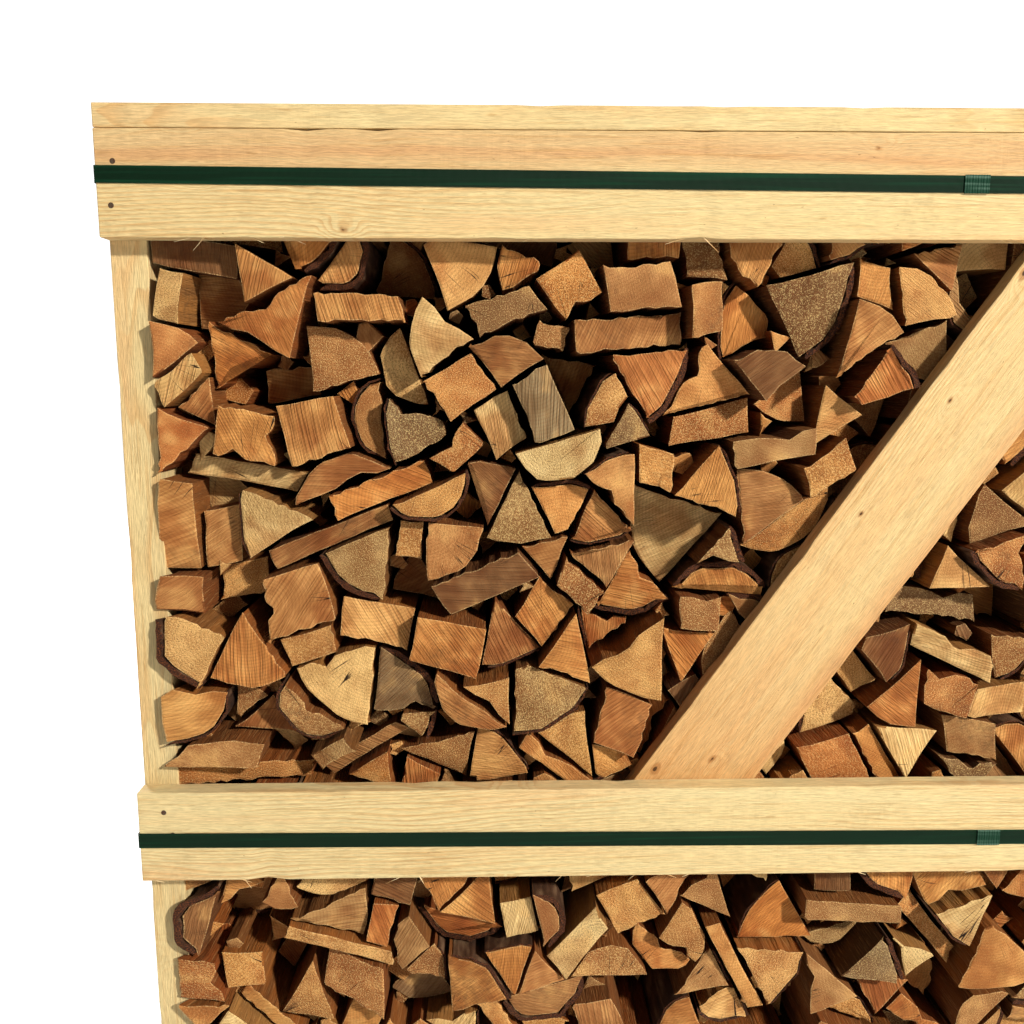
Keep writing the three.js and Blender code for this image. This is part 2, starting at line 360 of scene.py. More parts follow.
@dataclass(frozen=True)
class SawnPine:
    """Rough-sawn pine. The mesh gives each point its place along, across and through the board."""

    name: str = "sawn_pine"
    pale: str = "e2cd97"
    late: str = "cb9a60"
    heart: str = "cf9a69"
    knot: str = "a8703a"
    end: str = "d2ae70"
    grime: float = 0.2

    def make(self, effects: Effects) -> bpy.types.Material:
        """Builds the material.

        Args:
            effects: The shared wood effects.

        Returns:
            The finished material.
        """
        material, r, shader = new_material(self.name)
        place = r.attribute("grain_place").outputs["Vector"]
        luck = r.attribute("board_luck").outputs["Fac"]
        end = r.attribute("end_grain").outputs["Fac"]
        off_heart, down_brace, _ = r.parts(r.attribute("heart_place").outputs["Vector"])
        band = r.between(r.calc("ABSOLUTE", off_heart), 0.27, 0.06)
        foot = r.times(r.between(down_brace, 0.0, 1.0), 0.75)
        heart = r.calc("MAXIMUM", band, foot)
        fibres = r.use(effects.fibres, Place=place)
        streak, fuzz = fibres.outputs["Streak"], fibres.outputs["Fuzz"]

        # The pith runs a little off the board, wandering along its length.
        _, across, through = r.parts(place)
        wander = r.times(r.less(r.grain(r.stretch(place, 1.6, 0, 0), 1, 2), 0.5), 0.08)
        pith = r.joined(0.0, r.plus(r.less(across, 0.012), wander), r.plus(through, 0.045))
        knots, knot_core, swirl = self._knots(r, place)
        radius = r.plus(r.vector("LENGTH", pith), r.times(swirl, 0.012))
        rings = r.use(effects.rings, Place=r.stretch(place, 0.30, 2.6, 2.6), Radius=radius,
                      Spacing=0.0046, Waver=0.034).outputs[0]
        shown = r.between(r.grain(r.stretch(place, 2.2, 13, 13), 1, 2), 0.38, 0.62, 0.1, 0.62)
        warm = r.between(r.grain(r.stretch(place, 2.6, 24, 24), 1, 3), 0.52, 0.68)

        flecks = r.between(r.grain(r.stretch(place, 46, 520, 520), 1, 2), 0.66, 0.76)
        hairs = r.between(r.grain(r.stretch(place, 9, 260, 260), 1, 1, 0.6), 0.56, 0.72)
        specks = r.between(r.grain(r.stretch(place, 150, 420, 420), 1, 1), 0.79, 0.83)
        grime = r.use(effects.grime, Place=place, Amount=self.grime).outputs[0]
        colour = r.layered(
            self.pale,
            (r.times(rings, shown), self.late),
            (r.times(warm, 0.35), "e6b27c"),
            (r.times(streak, 0.2), "e3bd7c"),
            (r.times(heart, r.between(streak, 0, 1, 0.45, 0.85)), self.heart),
            (r.between(down_brace, -3.0, 1.0, 0.0, 0.34), "d89f5c"),
            (r.times(foot, 0.5), "cf8f4c"),
            (r.times(flecks, 0.5), "a87b45"),
            (r.times(hairs, 0.34), "b98648"),
            (r.times(specks, 0.7), "6d4a26"),
            (r.times(r.between(luck, 0, 1), 0.18), "d9b070"),
            (r.times(end, 0.65), self.end),
            (knots, self.knot),
            (knot_core, "54371b"),
            (grime, "8d6f47"))
        shade = r.between(fuzz, 0.3, 0.7, 0.82, 1.11)
        colour = r.mix(1.0, colour, r.joined(*[shade] * 3, kind="CombineColor"), "MULTIPLY")
        r.feed(shader.inputs["Base Color"], colour)
        r.feed(shader.inputs["Roughness"], r.between(fuzz, 0.2, 0.8, 0.62, 0.86))
        shader.inputs["Specular IOR Level"].default_value = 0.25

        # Along and across change places here, so that the saw marks cross the board.
        along, across, _ = r.parts(place)
        saw = r.use(effects.saw, Place=r.joined(across, along), Pitch=150.0).outputs[0]
        patch = r.between(r.grain(place, 7.0, 1), 0.5, 0.62, 0.02, 0.16)
        height = r.plus(r.times(fuzz, 1.1), r.times(saw, patch))
        roughen(r, shader, height, 0.8 * MM)
        return material

    @staticmethod
    def _knots(r: Recipe, place: bpy.types.NodeSocket) -> tuple:
        """A few small knots, longer along the board than across.

        Args:
            r: The material's recipe.
            place: Where the pattern is read.

        Returns:
            The masks of the whole knot, of its dark core and of the grain that bends round it.
        """
        cells = r.add("TexVoronoi", voronoi_dimensions="2D")
        r.feed(cells.inputs["Vector"], r.stretch(place, 6.5, 11.0, 0))
        r.feed(cells.inputs["Scale"], 1.0)
        pick, big, _ = r.parts(cells.outputs["Color"])
        chosen = r.calc("GREATER_THAN", pick, 0.57)
        wobble = r.times(r.less(r.grain(place, 140.0, 1), 0.5), 0.035)
        gap = r.plus(cells.outputs["Distance"], wobble)
        size = r.calc("MULTIPLY_ADD", big, 0.036, 0.018)
        beyond = r.less(gap, size)
        knot = r.between(beyond, 0.014, -0.012)
        core = r.between(r.less(gap, r.times(size, 0.4)), 0.008, -0.006)
        swirl = r.between(beyond, 0.16, 0.0)
        return (r.times(knot, r.times(chosen, 0.7)),
                r.times(core, chosen), r.times(swirl, chosen))


@dataclass(frozen=True)
class SplitWood:
    """Split logs: sawn ends, torn split faces and bark, told apart by the mesh's attributes."""

    name: str = "firewood"
    tones: tuple = ((0.0, "9c8560"), (0.06, "8c643e"), (0.15, "bc7e47"), (0.25, "b8935f"),
                    (0.34, "c87c40"), (0.46, "dc9d56"), (0.56, "b98350"), (0.67, "eaae64"),
                    (0.78, "d88c45"), (0.89, "f0c47e"), (1.0, "f6d695"))

    def make(self, effects: Effects) -> bpy.types.Material:
        """Builds the material.

        Args:
            effects: The shared wood effects.

        Returns:
            The finished material.
        """
        material, r, shader = new_material(self.name)
        place = r.attribute("from_pith").outputs["Vector"]
        end = r.attribute("sawn_end").outputs["Fac"]
        bark = r.attribute("bark").outputs["Fac"]
        luck = r.attribute("log_luck").outputs["Vector"]
        tone, saw_turn, fate = r.parts(luck)
        own = r.vector("ADD", place, r.stretch(luck, 53.0, 37.0, 71.0))
        speckle = r.grain(own, 820.0, 2, 0.7)

        colour = r.ramp(tone, list(self.tones))
        cut, cut_height = self._sawn_end(r, effects, place, own, colour, saw_turn, fate, speckle)
        torn, torn_height = self._torn_side_with_painted_shade(r, effects, own, colour)
        bark_colour, bark_height = self._bark(r, own, end, speckle)
        # Painted highlight: a pale rim round every sawn end, standing in for the light its edges
        # catch.
        painted_rim_highlight = r.between(r.attribute("edge").outputs["Fac"], 0.75, 0.1)
        painted_rim_highlight = r.times(painted_rim_highlight, r.between(speckle, 0.42, 0.6, 0.0, 0.55))
        cut = r.mix(painted_rim_highlight, cut, "ecc98c")
        wood = r.mix(bark, r.mix(end, torn, cut), bark_colour)
        grime = r.use(effects.grime, Place=own, Amount=0.45).outputs[0]
        r.feed(shader.inputs["Base Color"], r.mix(grime, wood, "4a3421"))
        r.feed(shader.inputs["Roughness"], r.between(speckle, 0.3, 0.7, 0.68, 0.92))
        shader.inputs["Specular IOR Level"].default_value = 0.2
        height = self._pick(r, bark, self._pick(r, end, torn_height, cut_height), bark_height)
        roughen(r, shader, height, 1.6 * MM)
        return material

    @staticmethod
    def _pick(r: Recipe, factor: object, under: object, over: object) -> bpy.types.NodeSocket:
        """Mixes two plain values."""
        node = r.add("Mix", data_type="FLOAT")
        for socket, value in zip((node.inputs[0], node.inputs[2], node.inputs[3]),
                                 (factor, under, over)):
            r.feed(socket, value)
        return node.outputs[0]

    def _sawn_end(self, r: Recipe, effects: Effects, place: bpy.types.NodeSocket,
                  own: bpy.types.NodeSocket, colour: bpy.types.NodeSocket,
                  saw_turn: bpy.types.NodeSocket, fate: bpy.types.NodeSocket,
                  speckle: bpy.types.NodeSocket) -> tuple:
        """A sawn end: saw marks on one log, fuzz on the next, heartwood, rings and cracks.

        Args:
            r: The material's recipe.
            effects: The shared wood effects.
            place: The place measured from the pith.
            own: The same, moved to a stretch of noise that is the log's own.
            colour: The log's own colour.
            saw_turn: The direction of the saw marks, in turns.
            fate: What kind of end the log has, from 0 to 1.
            speckle: Fine noise.

        Returns:
            The end's colour and height.
        """
        radius = r.vector("LENGTH", r.stretch(place, 1, 0, 1))
        rings = r.use(effects.rings, Place=own, Radius=radius, Spacing=0.0036,
                      Waver=0.006).outputs[0]
        turned = r.add("VectorRotate", rotation_type="Y_AXIS")
        r.feed(turned.inputs["Vector"], place)
        r.feed(turned.inputs["Angle"], r.times(saw_turn, math.tau))
        across, _, up = r.parts(turned.outputs[0])
        sweep = r.times(r.grain(own, 9.0, 1), 0.012)
        scratch = r.joined(r.plus(across, r.times(fate, 9.0)), r.plus(up, sweep))
        saw = r.use(effects.saw, Place=scratch,
                    Pitch=r.between(fate, 0.22, 0.24, 420.0, 760.0)).outputs[0]
        marks = r.times(saw, r.between(fate, 0.62, 0.24, 0.2, 0.8))
        fuzzy = r.times(r.between(fate, 0.38, 0.52), r.between(fate, 0.90, 0.80, 0.3, 1.0))

        heart = r.between(r.grain(own, 19.0, 2, 0.55), 0.46, 0.66)
        cut = r.mix(r.times(heart, 0.55), colour, r.mix(1.0, colour, "c08a5c", "MULTIPLY"))
        cut = r.mix(r.times(rings, 0.26), cut, "8a5526")
        patchy = r.grain(own, 27.0, 2, 0.6)
        worn = r.between(patchy, 0.62, 0.36)
        cut = r.mix(r.times(worn, 0.55), cut, r.mix(1.0, cut, "b9a184", "MULTIPLY"))
        cut = r.mix(r.between(patchy, 0.54, 0.74, 0.0, 0.4), cut, "f0bd72")
        cut = r.mix(r.times(marks, 0.5), cut, r.mix(1.0, cut, "b0875f", "MULTIPLY"))
        bright = r.times(r.between(speckle, 0.50, 0.66), fuzzy)
        dull = r.times(r.between(speckle, 0.50, 0.34), fuzzy)
        cut = r.layered(cut, (r.times(bright, 0.5), "f4d28c"), (r.times(dull, 0.6), "6f451f"),
                        (r.between(speckle, 0.44, 0.28, 0.0, 0.35), "7a4c22"),
                        (self._cracks(r, place, own, radius), "24140a"))
        fuzz = r.times(speckle, r.between(fuzzy, 0, 1, 0.35, 1.1))
        return cut, r.plus(r.times(marks, 0.7), fuzz)

    @staticmethod
    def _torn_side_with_painted_shade(r: Recipe, effects: Effects, own: bpy.types.NodeSocket,
                   colour: bpy.types.NodeSocket) -> tuple:
        """A split side, torn along the fibres, darkened partly by its own tone and partly by
        painted shade of the gaps between logs.

        Args:
            r: The material's recipe.
            effects: The shared wood effects.
            own: The log's own stretch of noise.
            colour: The log's own colour.

        Returns:
            The side's colour and height.
        """
        across, along, up = r.parts(own)
        fibres = r.use(effects.fibres, Place=r.joined(along, across, up), Reach=0.6)
        # Painted shade: the side's colour is multiplied darker, partly the split wood's own tone
        # and partly the shade between the logs.
        torn = r.layered(r.mix(1.0, colour, "a88a6c", "MULTIPLY"),
                         (r.times(fibres.outputs["Streak"], 0.55), "5f3c20"),
                         (r.between(fibres.outputs["Fuzz"], 0.5, 0.8, 0.0, 0.4), "cf9e62"))
        return torn, r.times(fibres.outputs["Fuzz"], 1.6)

    @staticmethod
    def _bark(r: Recipe, own: bpy.types.NodeSocket, end: bpy.types.NodeSocket,
              speckle: bpy.types.NodeSocket) -> tuple:
        """Bark: reddish and layered where it is sawn through, rough and dark outside.

        Args:
            r: The material's recipe.
            own: The log's own stretch of noise.
            end: Mask of the sawn ends.
            speckle: Fine noise.

        Returns:
            The bark's colour and height.
        """
        plates = r.grain(r.stretch(own, 60, 16, 60), 1.0, 2, 0.65)
        skin = r.ramp(plates, [(0.25, "1f130c"), (0.5, "4a2f1d"), (0.75, "86684c")])
        sawn = r.mix(r.between(speckle, 0.40, 0.72), "28140b", "7a4526")
        return r.mix(end, skin, sawn), r.plus(r.times(plates, 2.5), speckle)

    @staticmethod
    def _cracks(r: Recipe, place: bpy.types.NodeSocket, own: bpy.types.NodeSocket,
                radius: bpy.types.NodeSocket) -> bpy.types.NodeSocket:
        """Drying cracks that run out from the pith.

        Args:
            r: The material's recipe.
            place: The place measured from the pith.
            own: The log's own stretch of noise.
            radius: Distance from the pith.

        Returns:
            The cracks' mask.
        """
        spokes = r.vector("NORMALIZE", r.stretch(place, 1, 0, 1))
        lead = r.vector("ADD", r.vector("SCALE", spokes, 7.0), r.vector("SCALE", own, 6.0))
        thin = r.calc("ABSOLUTE", r.less(r.grain(lead, 1.0, 1), 0.5))
        open_ = r.between(thin, 0.010, 0.003)
        patch = r.between(r.grain(own, 17.0, 1), 0.58, 0.68)
        return r.times(open_, r.times(patch, r.between(radius, 0.004, 0.012)))


@dataclass(frozen=True)
class StrapPlastic:
    """Dark green polyester strap, embossed with a fine waffle."""

    name: str = "strap"
    colour: str = "03210f"
    worn: str = "083620"

    def make(self) -> bpy.types.Material:
        """Builds the material and returns it."""
        material, r, shader = new_material(self.name)
        place = r.add("TexCoord").outputs["Object"]
        x, y, z = r.parts(place)
        run = r.plus(x, y)
        waves = [r.calc("SINE", r.times(r.calc(sign, run, z), 3000.0))
                 for sign in ("ADD", "SUBTRACT")]
        waffle = r.times(*waves)
        scuff = r.between(r.grain(r.stretch(place, 6, 6, 300), 1.0, 3), 0.45, 0.75)
        r.feed(shader.inputs["Base Color"], r.mix(scuff, self.colour, self.worn))
        r.feed(shader.inputs["Roughness"], r.between(scuff, 0, 1, 0.42, 0.6))
        shader.inputs["Specular IOR Level"].default_value = 0.12
        roughen(r, shader, waffle, 0.15 * MM)
        return material


@dataclass(frozen=True)
class NailSteel:
    """Nail heads, dull and starting to rust."""

    name: str = "nail_steel"

    def make(self) -> bpy.types.Material:
        """Builds the material and returns it."""
        material, r, shader = new_material(self.name)
        place = r.add("TexCoord").outputs["Object"]
        rust = r.between(r.grain(place, 500.0, 3), 0.35, 0.65)
        r.feed(shader.inputs["Base Color"], r.mix(rust, "5c4c3c", "4a2a14"))
        r.feed(shader.inputs["Metallic"], r.between(rust, 0, 1, 0.4, 0.0))
        r.feed(shader.inputs["Roughness"], r.between(rust, 0, 1, 0.45, 0.85))
        return material


# ---- Boards ------------------------------------------------------------------------------------


def set_floats(mesh: bpy.types.Mesh, name: str, values: np.ndarray, domain: str = "POINT") -> None:
    """Writes a float or vector attribute.

    Args:
        mesh: The mesh.
        name: The attribute's name.
        values: One number or one row of three for each element.
        domain: Where the values are kept.
    """
    wide = values.ndim == 2
    made = mesh.attributes.new(name, "FLOAT_VECTOR" if wide else "FLOAT", domain)
    made.data.foreach_set("vector" if wide else "value", values.astype(np.float32).ravel())


def get_floats(mesh: bpy.types.Mesh, name: str, kind: type = np.float32) -> np.ndarray:
    """Reads the number that each vertex has for an attribute."""
    values = np.empty(len(mesh.vertices), kind)
    mesh.attributes[name].data.foreach_get("value", values)
    return values


def finish_piece(name: str, bm: bmesh.types.BMesh, material: bpy.types.Material, slot: str,
                 *nodes: str) -> bpy.types.Object:
    """Turns a bmesh into a piece of the crate.

    Args:
        name: The piece's name.
        bm: The bmesh, freed afterwards.
        material: Its finish.
        slot: The record's material slot; not used.
        nodes: CAD nodes that it stands for.

    Returns:
        The new object.
    """
    mesh = bpy.data.meshes.new(name)
    bm.to_mesh(mesh)
    bm.free()
    mesh.materials.append(material)
    piece = bpy.data.objects.new(name, mesh)
    bpy.context.scene.collection.objects.link(piece)
    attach(piece, "root")
    if nodes:
        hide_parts(*nodes)
    return piece


@dataclass
class Board:
    """One rough-sawn board, modelled along X and then set in its place."""

    node: str
    length: float
    width: float
    thickness: float
    turn: Matrix
    centre: Vector
    trims: list = field(default_factory=list)
    heart: float | None = None
    luck: float = 0.5
    wave: float = 0.5 * MM
    chips: float = 2.2 * MM
    rounding: float = 1.1 * MM
    foot_from: float = 40 * MM
    foot_length: float = 0.4
    spacing: float = 22 * MM

    def build(self, material: bpy.types.Material, slot: str) -> bpy.types.Object:
        """Makes the board's mesh and dresses it.

        Args:
            material: The pine finish.
            slot: The record's material slot.

        Returns:
            The board.
        """
        bm = bmesh.new()
        bmesh.ops.create_cube(bm, size=1.0)
        bmesh.ops.scale(bm, vec=(self.length, self.width, self.thickness), verts=bm.verts)
        self._round_edges(bm)
        self._cut_along(bm)
        grain = bm.verts.layers.float_vector.new("grain_place")
        own = Vector((7.3, 3.1, 0.0)) * (1 + 10 * self.luck)
        for vert in bm.verts:
            vert[grain] = vert.co + own
            self._weather(vert, own)
        for point, normal in self.trims:
            self._trim(bm, point, normal)
        bmesh.ops.transform(bm, matrix=Matrix.Translation(self.centre) @ self.turn, verts=bm.verts)
        piece = finish_piece(f"{self.node}_board", bm, material, slot, self.node)
        self._mark(piece.data, own)
        return piece

    def _round_edges(self, bm: bmesh.types.BMesh) -> None:
        """Takes the sharpness off the long edges and the ends."""
        bmesh.ops.bevel(bm, geom=list(bm.edges), offset=self.rounding, offset_type="OFFSET",
                        segments=2, profile=0.5, affect="EDGES", material=-1)

    def _cut_along(self, bm: bmesh.types.BMesh) -> None:
        """Divides the long edges and the broad faces, so that they can wave."""
        long_edges = [e for e in bm.edges
                      if abs(e.verts[0].co.x - e.verts[1].co.x) > self.length / 2]
        cuts = max(4, int(self.length / self.spacing))
        bmesh.ops.subdivide_edges(bm, edges=long_edges, cuts=cuts, use_grid_fill=True)

    def _weather(self, vert: bmesh.types.BMVert, own: Vector) -> None:
        """Waves the long edges a little and takes small chips out of them.

        Args:
            vert: The vertex to move.
            own: The board's own stretch of noise.
        """
        x, y, z = vert.co
        slow = noise.noise(Vector((x * 5, 0.7 * (y > 0), 0.3 * (z > 0))) + own)
        quick = noise.noise(Vector((x * 60, 3.1 * (y > 0), 5.7 * (z > 0))) + own)
        on_edge = abs(y) > self.width / 2 - 2 * MM
        if on_edge:
            chip = max(0.0, quick - 0.28) * self.chips * 2.4
            vert.co.y -= math.copysign(chip + self.wave * (0.5 + 0.5 * slow), y)
            vert.co.z -= math.copysign(chip * 0.5, z)

    @staticmethod
    def _trim(bm: bmesh.types.BMesh, point: Vector, normal: Vector) -> None:
        """Saws off what lies on the normal's side of a plane and closes the cut."""
        geometry = list(bm.verts) + list(bm.edges) + list(bm.faces)
        cut = bmesh.ops.bisect_plane(bm, geom=geometry, plane_co=point, plane_no=normal,
                                     clear_outer=True, dist=1e-6)
        edges = [e for e in cut["geom_cut"] if isinstance(e, bmesh.types.BMEdge)]
        bmesh.ops.holes_fill(bm, edges=edges, sides=0)

    def _mark(self, mesh: bpy.types.Mesh, own: Vector) -> None:
        """Writes the attributes that the pine finish reads.

        Args:
            mesh: The board's mesh, in place.
            own: The board's own stretch of noise.
        """
        count = len(mesh.vertices)
        places = np.empty(count * 3, np.float32)
        mesh.attributes["grain_place"].data.foreach_get("vector", places)
        local = places.reshape(-1, 3) - np.array(own)
        set_floats(mesh, "board_luck", np.full(count, self.luck))
        hearts = np.tile((FAR_OFF, -FAR_OFF, 0.0), (count, 1))
        if self.heart is not None:
            hearts[:, 0] = (local[:, 1] - self.heart) / self.width
        if self.trims:
            hearts[:, 1] = -(local[:, 0] + self.foot_from) / self.foot_length
        set_floats(mesh, "heart_place", hearts)
        axis = np.array(self.turn.to_3x3() @ Vector((1, 0, 0)))
        normals = np.array([polygon.normal[:] for polygon in mesh.polygons])
        set_floats(mesh, "end_grain", (np.abs(normals @ axis) > 0.75).astype(float), "FACE")


def brace_strip(node: str) -> tuple[Vector, float, float]:
    """The strip that a brace covers, read from the CAD faces along its edges.

    Args:
        node: The CAD node.

    Returns:
        A direction across the brace, and how far along it the brace's two edges lie.
    """
    mesh = frame["nodes"][node].data
    sides = [p for p in mesh.polygons if abs(p.normal.y) < 0.1 and 0.2 < abs(p.normal.x) < 0.95]
    across = max(sides, key=lambda p: p.area).normal.copy()
    across *= math.copysign(1.0, across.x)
    offsets = [across.dot(mesh.vertices[i].co) for p in sides for i in p.vertices]
    return across, min(offsets), max(offsets)


class Timber:
    """Every sawn board of the crate, each in the place of its CAD node."""

    # How far off the board's middle line its heart runs, where it shows.
    HEARTS = {"rail_front_top": 0.031, "rail_back_middle": -0.01, "rail_left_middle": 0.02}

    def __init__(self, pine: bpy.types.Material, base: bpy.types.Material) -> None:
        """Keeps the two finishes, and a seeded source of chance."""
        self.finishes = {"sawn_pine": pine, "pallet_timber": base}
        self.chance = np.random.default_rng(5)

    def build(self) -> None:
        """Builds one board for each wooden CAD node that isn't firewood."""
        for entry in frame["record"]["subparts"]:
            node, slot = entry["node"], entry["material_slot"]
            if slot in self.finishes:
                board = self._brace(node) if node.startswith("brace") else self._straight(node)
                board.luck = float(self.chance.random())
                board.build(self.finishes[slot], slot)
        log.info("timber built")

    def _straight(self, node: str) -> Board:
        """A board whose sides lie along the axes.

        Args:
            node: The CAD node.

        Returns:
            The board, not yet built.
        """
        low, high = (np.array(corner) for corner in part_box(node))
        size = high - low
        order = np.argsort(-size)
        axes = np.zeros((3, 3))
        for row, axis in enumerate(order):
            axes[axis, row] = 1.0
        if np.linalg.det(axes) < 0:
            axes[:, 2] *= -1
        turn = Matrix(axes.tolist()).to_4x4()
        middle = Vector(((low + high) / 2).tolist())
        return Board(node, *size[order].tolist(), turn, middle, heart=self.HEARTS.get(node))

    def _brace(self, node: str) -> Board:
        """The leaning brace, whose slope is read from the faces along its edges.

        Args:
            node: The CAD node.

        Returns:
            The board, longer than the brace, with the planes that trim it.
        """
        low, high = (Vector(corner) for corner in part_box(node))
        across, near, far = brace_strip(node)
        along = Vector((-across.z, 0, across.x))
        through = along.cross(across)
        turn = Matrix((along, across, through)).transposed().to_4x4()
        middle = (low + high) / 2
        centre = middle + across * ((far + near) / 2 - across.dot(middle))
        size = high - low
        back = turn.inverted()
        planes = [(Vector((0, 0, low.z)), Vector((0, 0, -1))),
                  (Vector((0, 0, high.z)), Vector((0, 0, 1)))]
        leans_right = across.z < 0
        planes.append((high, Vector((1, 0, 0))) if leans_right else (low, Vector((-1, 0, 0))))
        trims = [(back @ (point - centre), back.to_3x3() @ normal) for point, normal in planes]
        return Board(node, size.z * 1.6, far - near, size.y, turn, centre, trims=trims,
                     heart=0.056)


# ---- Firewood ----------------------------------------------------------------------------------


class Split(Enum):
    """The ways a round is split, each with how often it turns up in the stack."""

    WEDGE = 0.35
    HALF_ROUND = 0.13
    BLOCK = 0.20
    SLAB = 0.11
    TRIANGLE = 0.16
    SHARD = 0.05


@dataclass
class SplitLog:
    """One log: its outline about its own middle in millimetres, and what it is made of."""

    outline: np.ndarray
    pith: np.ndarray
    rim: float
    luck: np.ndarray
    bark: float = 0.0
    spot: tuple | None = None
    level: bool = False

    @classmethod
    def cut(cls, split: Split, chance: np.random.Generator) -> "SplitLog":
        """Splits a log.

        Args:
            split: How it is split.
            chance: Where its sizes come from.

        Returns:
            The log.
        """
        draw = chance.uniform
        size = math.exp(chance.normal(0.0, 0.13))
        if split is Split.WEDGE:
            core = 0 if draw() < 0.6 else draw(10, 24)
            return cls.wedge(size * draw(60, 86), draw(42, 80), core, chance)
        if split is Split.HALF_ROUND:
            radius = size * draw(40, 54)
            return cls.half_round(radius, radius * draw(-0.05, 0.45), chance)
        if split is Split.BLOCK:
            return cls.block(size * draw(46, 76), size * draw(34, 52), draw(-0.4, 0.5),
                             draw(-0.35, 0.55), chance)
        if split is Split.SLAB:
            slab = cls.block(size * draw(84, 116), draw(24, 38), draw(-0.2, 0.3), draw(-0.3, 0.4),
                             chance)
            slab.level = True
            return slab
        if split is Split.TRIANGLE:
            return cls.triangle(size * draw(62, 88), size * draw(48, 72), draw(-0.7, 0.7), chance)
        return cls.wedge(draw(48, 66), draw(80, 108), 0, chance, bark=False)

    @classmethod
    def _about_middle(cls, points: list, rim: float, chance: np.random.Generator) -> "SplitLog":
        """A log whose outline is drawn about the pith, moved to be about its middle."""
        drawn = np.array(points, float)
        area, middle = outline_middle(drawn)
        if area < 0:
            drawn = drawn[::-1]
        bark = chance.choice((1.6, 2.6, 3.6, 6.0)) if rim > 0 and chance.random() < 0.66 else 0.0
        return cls(drawn - middle, -middle, rim, chance.random(3), bark)

    @staticmethod
    def _arc(radius: float, half: float, count: int) -> list[tuple]:
        """Points along the part of a round that lies within an angle on either side of X."""
        return [(radius * math.cos(t), radius * math.sin(t))
                for t in np.linspace(-half, half, count)]

    @classmethod
    def wedge(cls, radius: float, angle: float, core: float, chance: np.random.Generator,
              bark: bool = True) -> "SplitLog":
        """A wedge out of a round, with its heart left on or split off."""
        half = math.radians(angle) / 2
        points = cls._arc(radius, half, 5)
        if core > 0:
            points += [(core * math.cos(half), core * math.sin(half)),
                       (core * math.cos(half), -core * math.sin(half))]
        else:
            points += [(0.0, 0.0)]
        return cls._about_middle(points, radius if bark else 0.0, chance)

    @classmethod
    def half_round(cls, radius: float, chord: float, chance: np.random.Generator) -> "SplitLog":
        """A round split once, at a distance from its pith."""
        half = math.acos(chord / radius)
        points = cls._arc(radius, half, 9)
        return cls._about_middle(points, radius, chance)

    @classmethod
    def _inner(cls, points: list, chance: np.random.Generator) -> "SplitLog":
        """A log from inside a round, whose pith was somewhere about it."""
        made = cls._about_middle(points, 0.0, chance)
        made.pith = chance.uniform(-1, 1, 2) * (70, 90)
        return made

    @classmethod
    def block(cls, width: float, height: float, skew: float, taper: float,
              chance: np.random.Generator) -> "SplitLog":
        """A piece from inside a round, split on all four sides."""
        points = [(-width / 2, -height / 2), (width / 2, -height / 2 * (1 - taper)),
                  (width / 2 * (1 - skew), height / 2),
                  (-width / 2 * (1 + skew / 2), height / 2 * (1 - 0.4 * taper))]
        points = np.array(points) + chance.uniform(-0.05, 0.05, (4, 2)) * height
        return cls._inner(points, chance)

    @classmethod
    def triangle(cls, width: float, height: float, lean: float,
                 chance: np.random.Generator) -> "SplitLog":
        """A three-sided piece with no bark."""
        return cls._inner([(-width / 2, 0), (width / 2, 0), (lean * width / 2, height)], chance)


@dataclass(frozen=True)
class ChosenLog:
    """A log that is set in the front row at a given spot.

    The sizes are the ones its kind of split takes, x and z are its middle in millimetres from the
    crate's middle and the ground, and turn is in degrees.
    """

    split: Split
    sizes: tuple
    x: float
    z: float
    turn: float
    tone: float
    marks: float = 0.2
    kind: float = 0.3
    bark: float = 0.0

    def cut(self, chance: np.random.Generator) -> SplitLog:
        """Splits the log and pins it to its spot."""
        maker = {Split.WEDGE: SplitLog.wedge, Split.HALF_ROUND: SplitLog.half_round,
                 Split.BLOCK: SplitLog.block, Split.TRIANGLE: SplitLog.triangle}[self.split]
        made = maker(*self.sizes, chance)
        made.luck = np.array((self.tone, self.marks, self.kind))
        made.bark = self.bark
        made.spot = (self.x, self.z, self.turn)
        return made


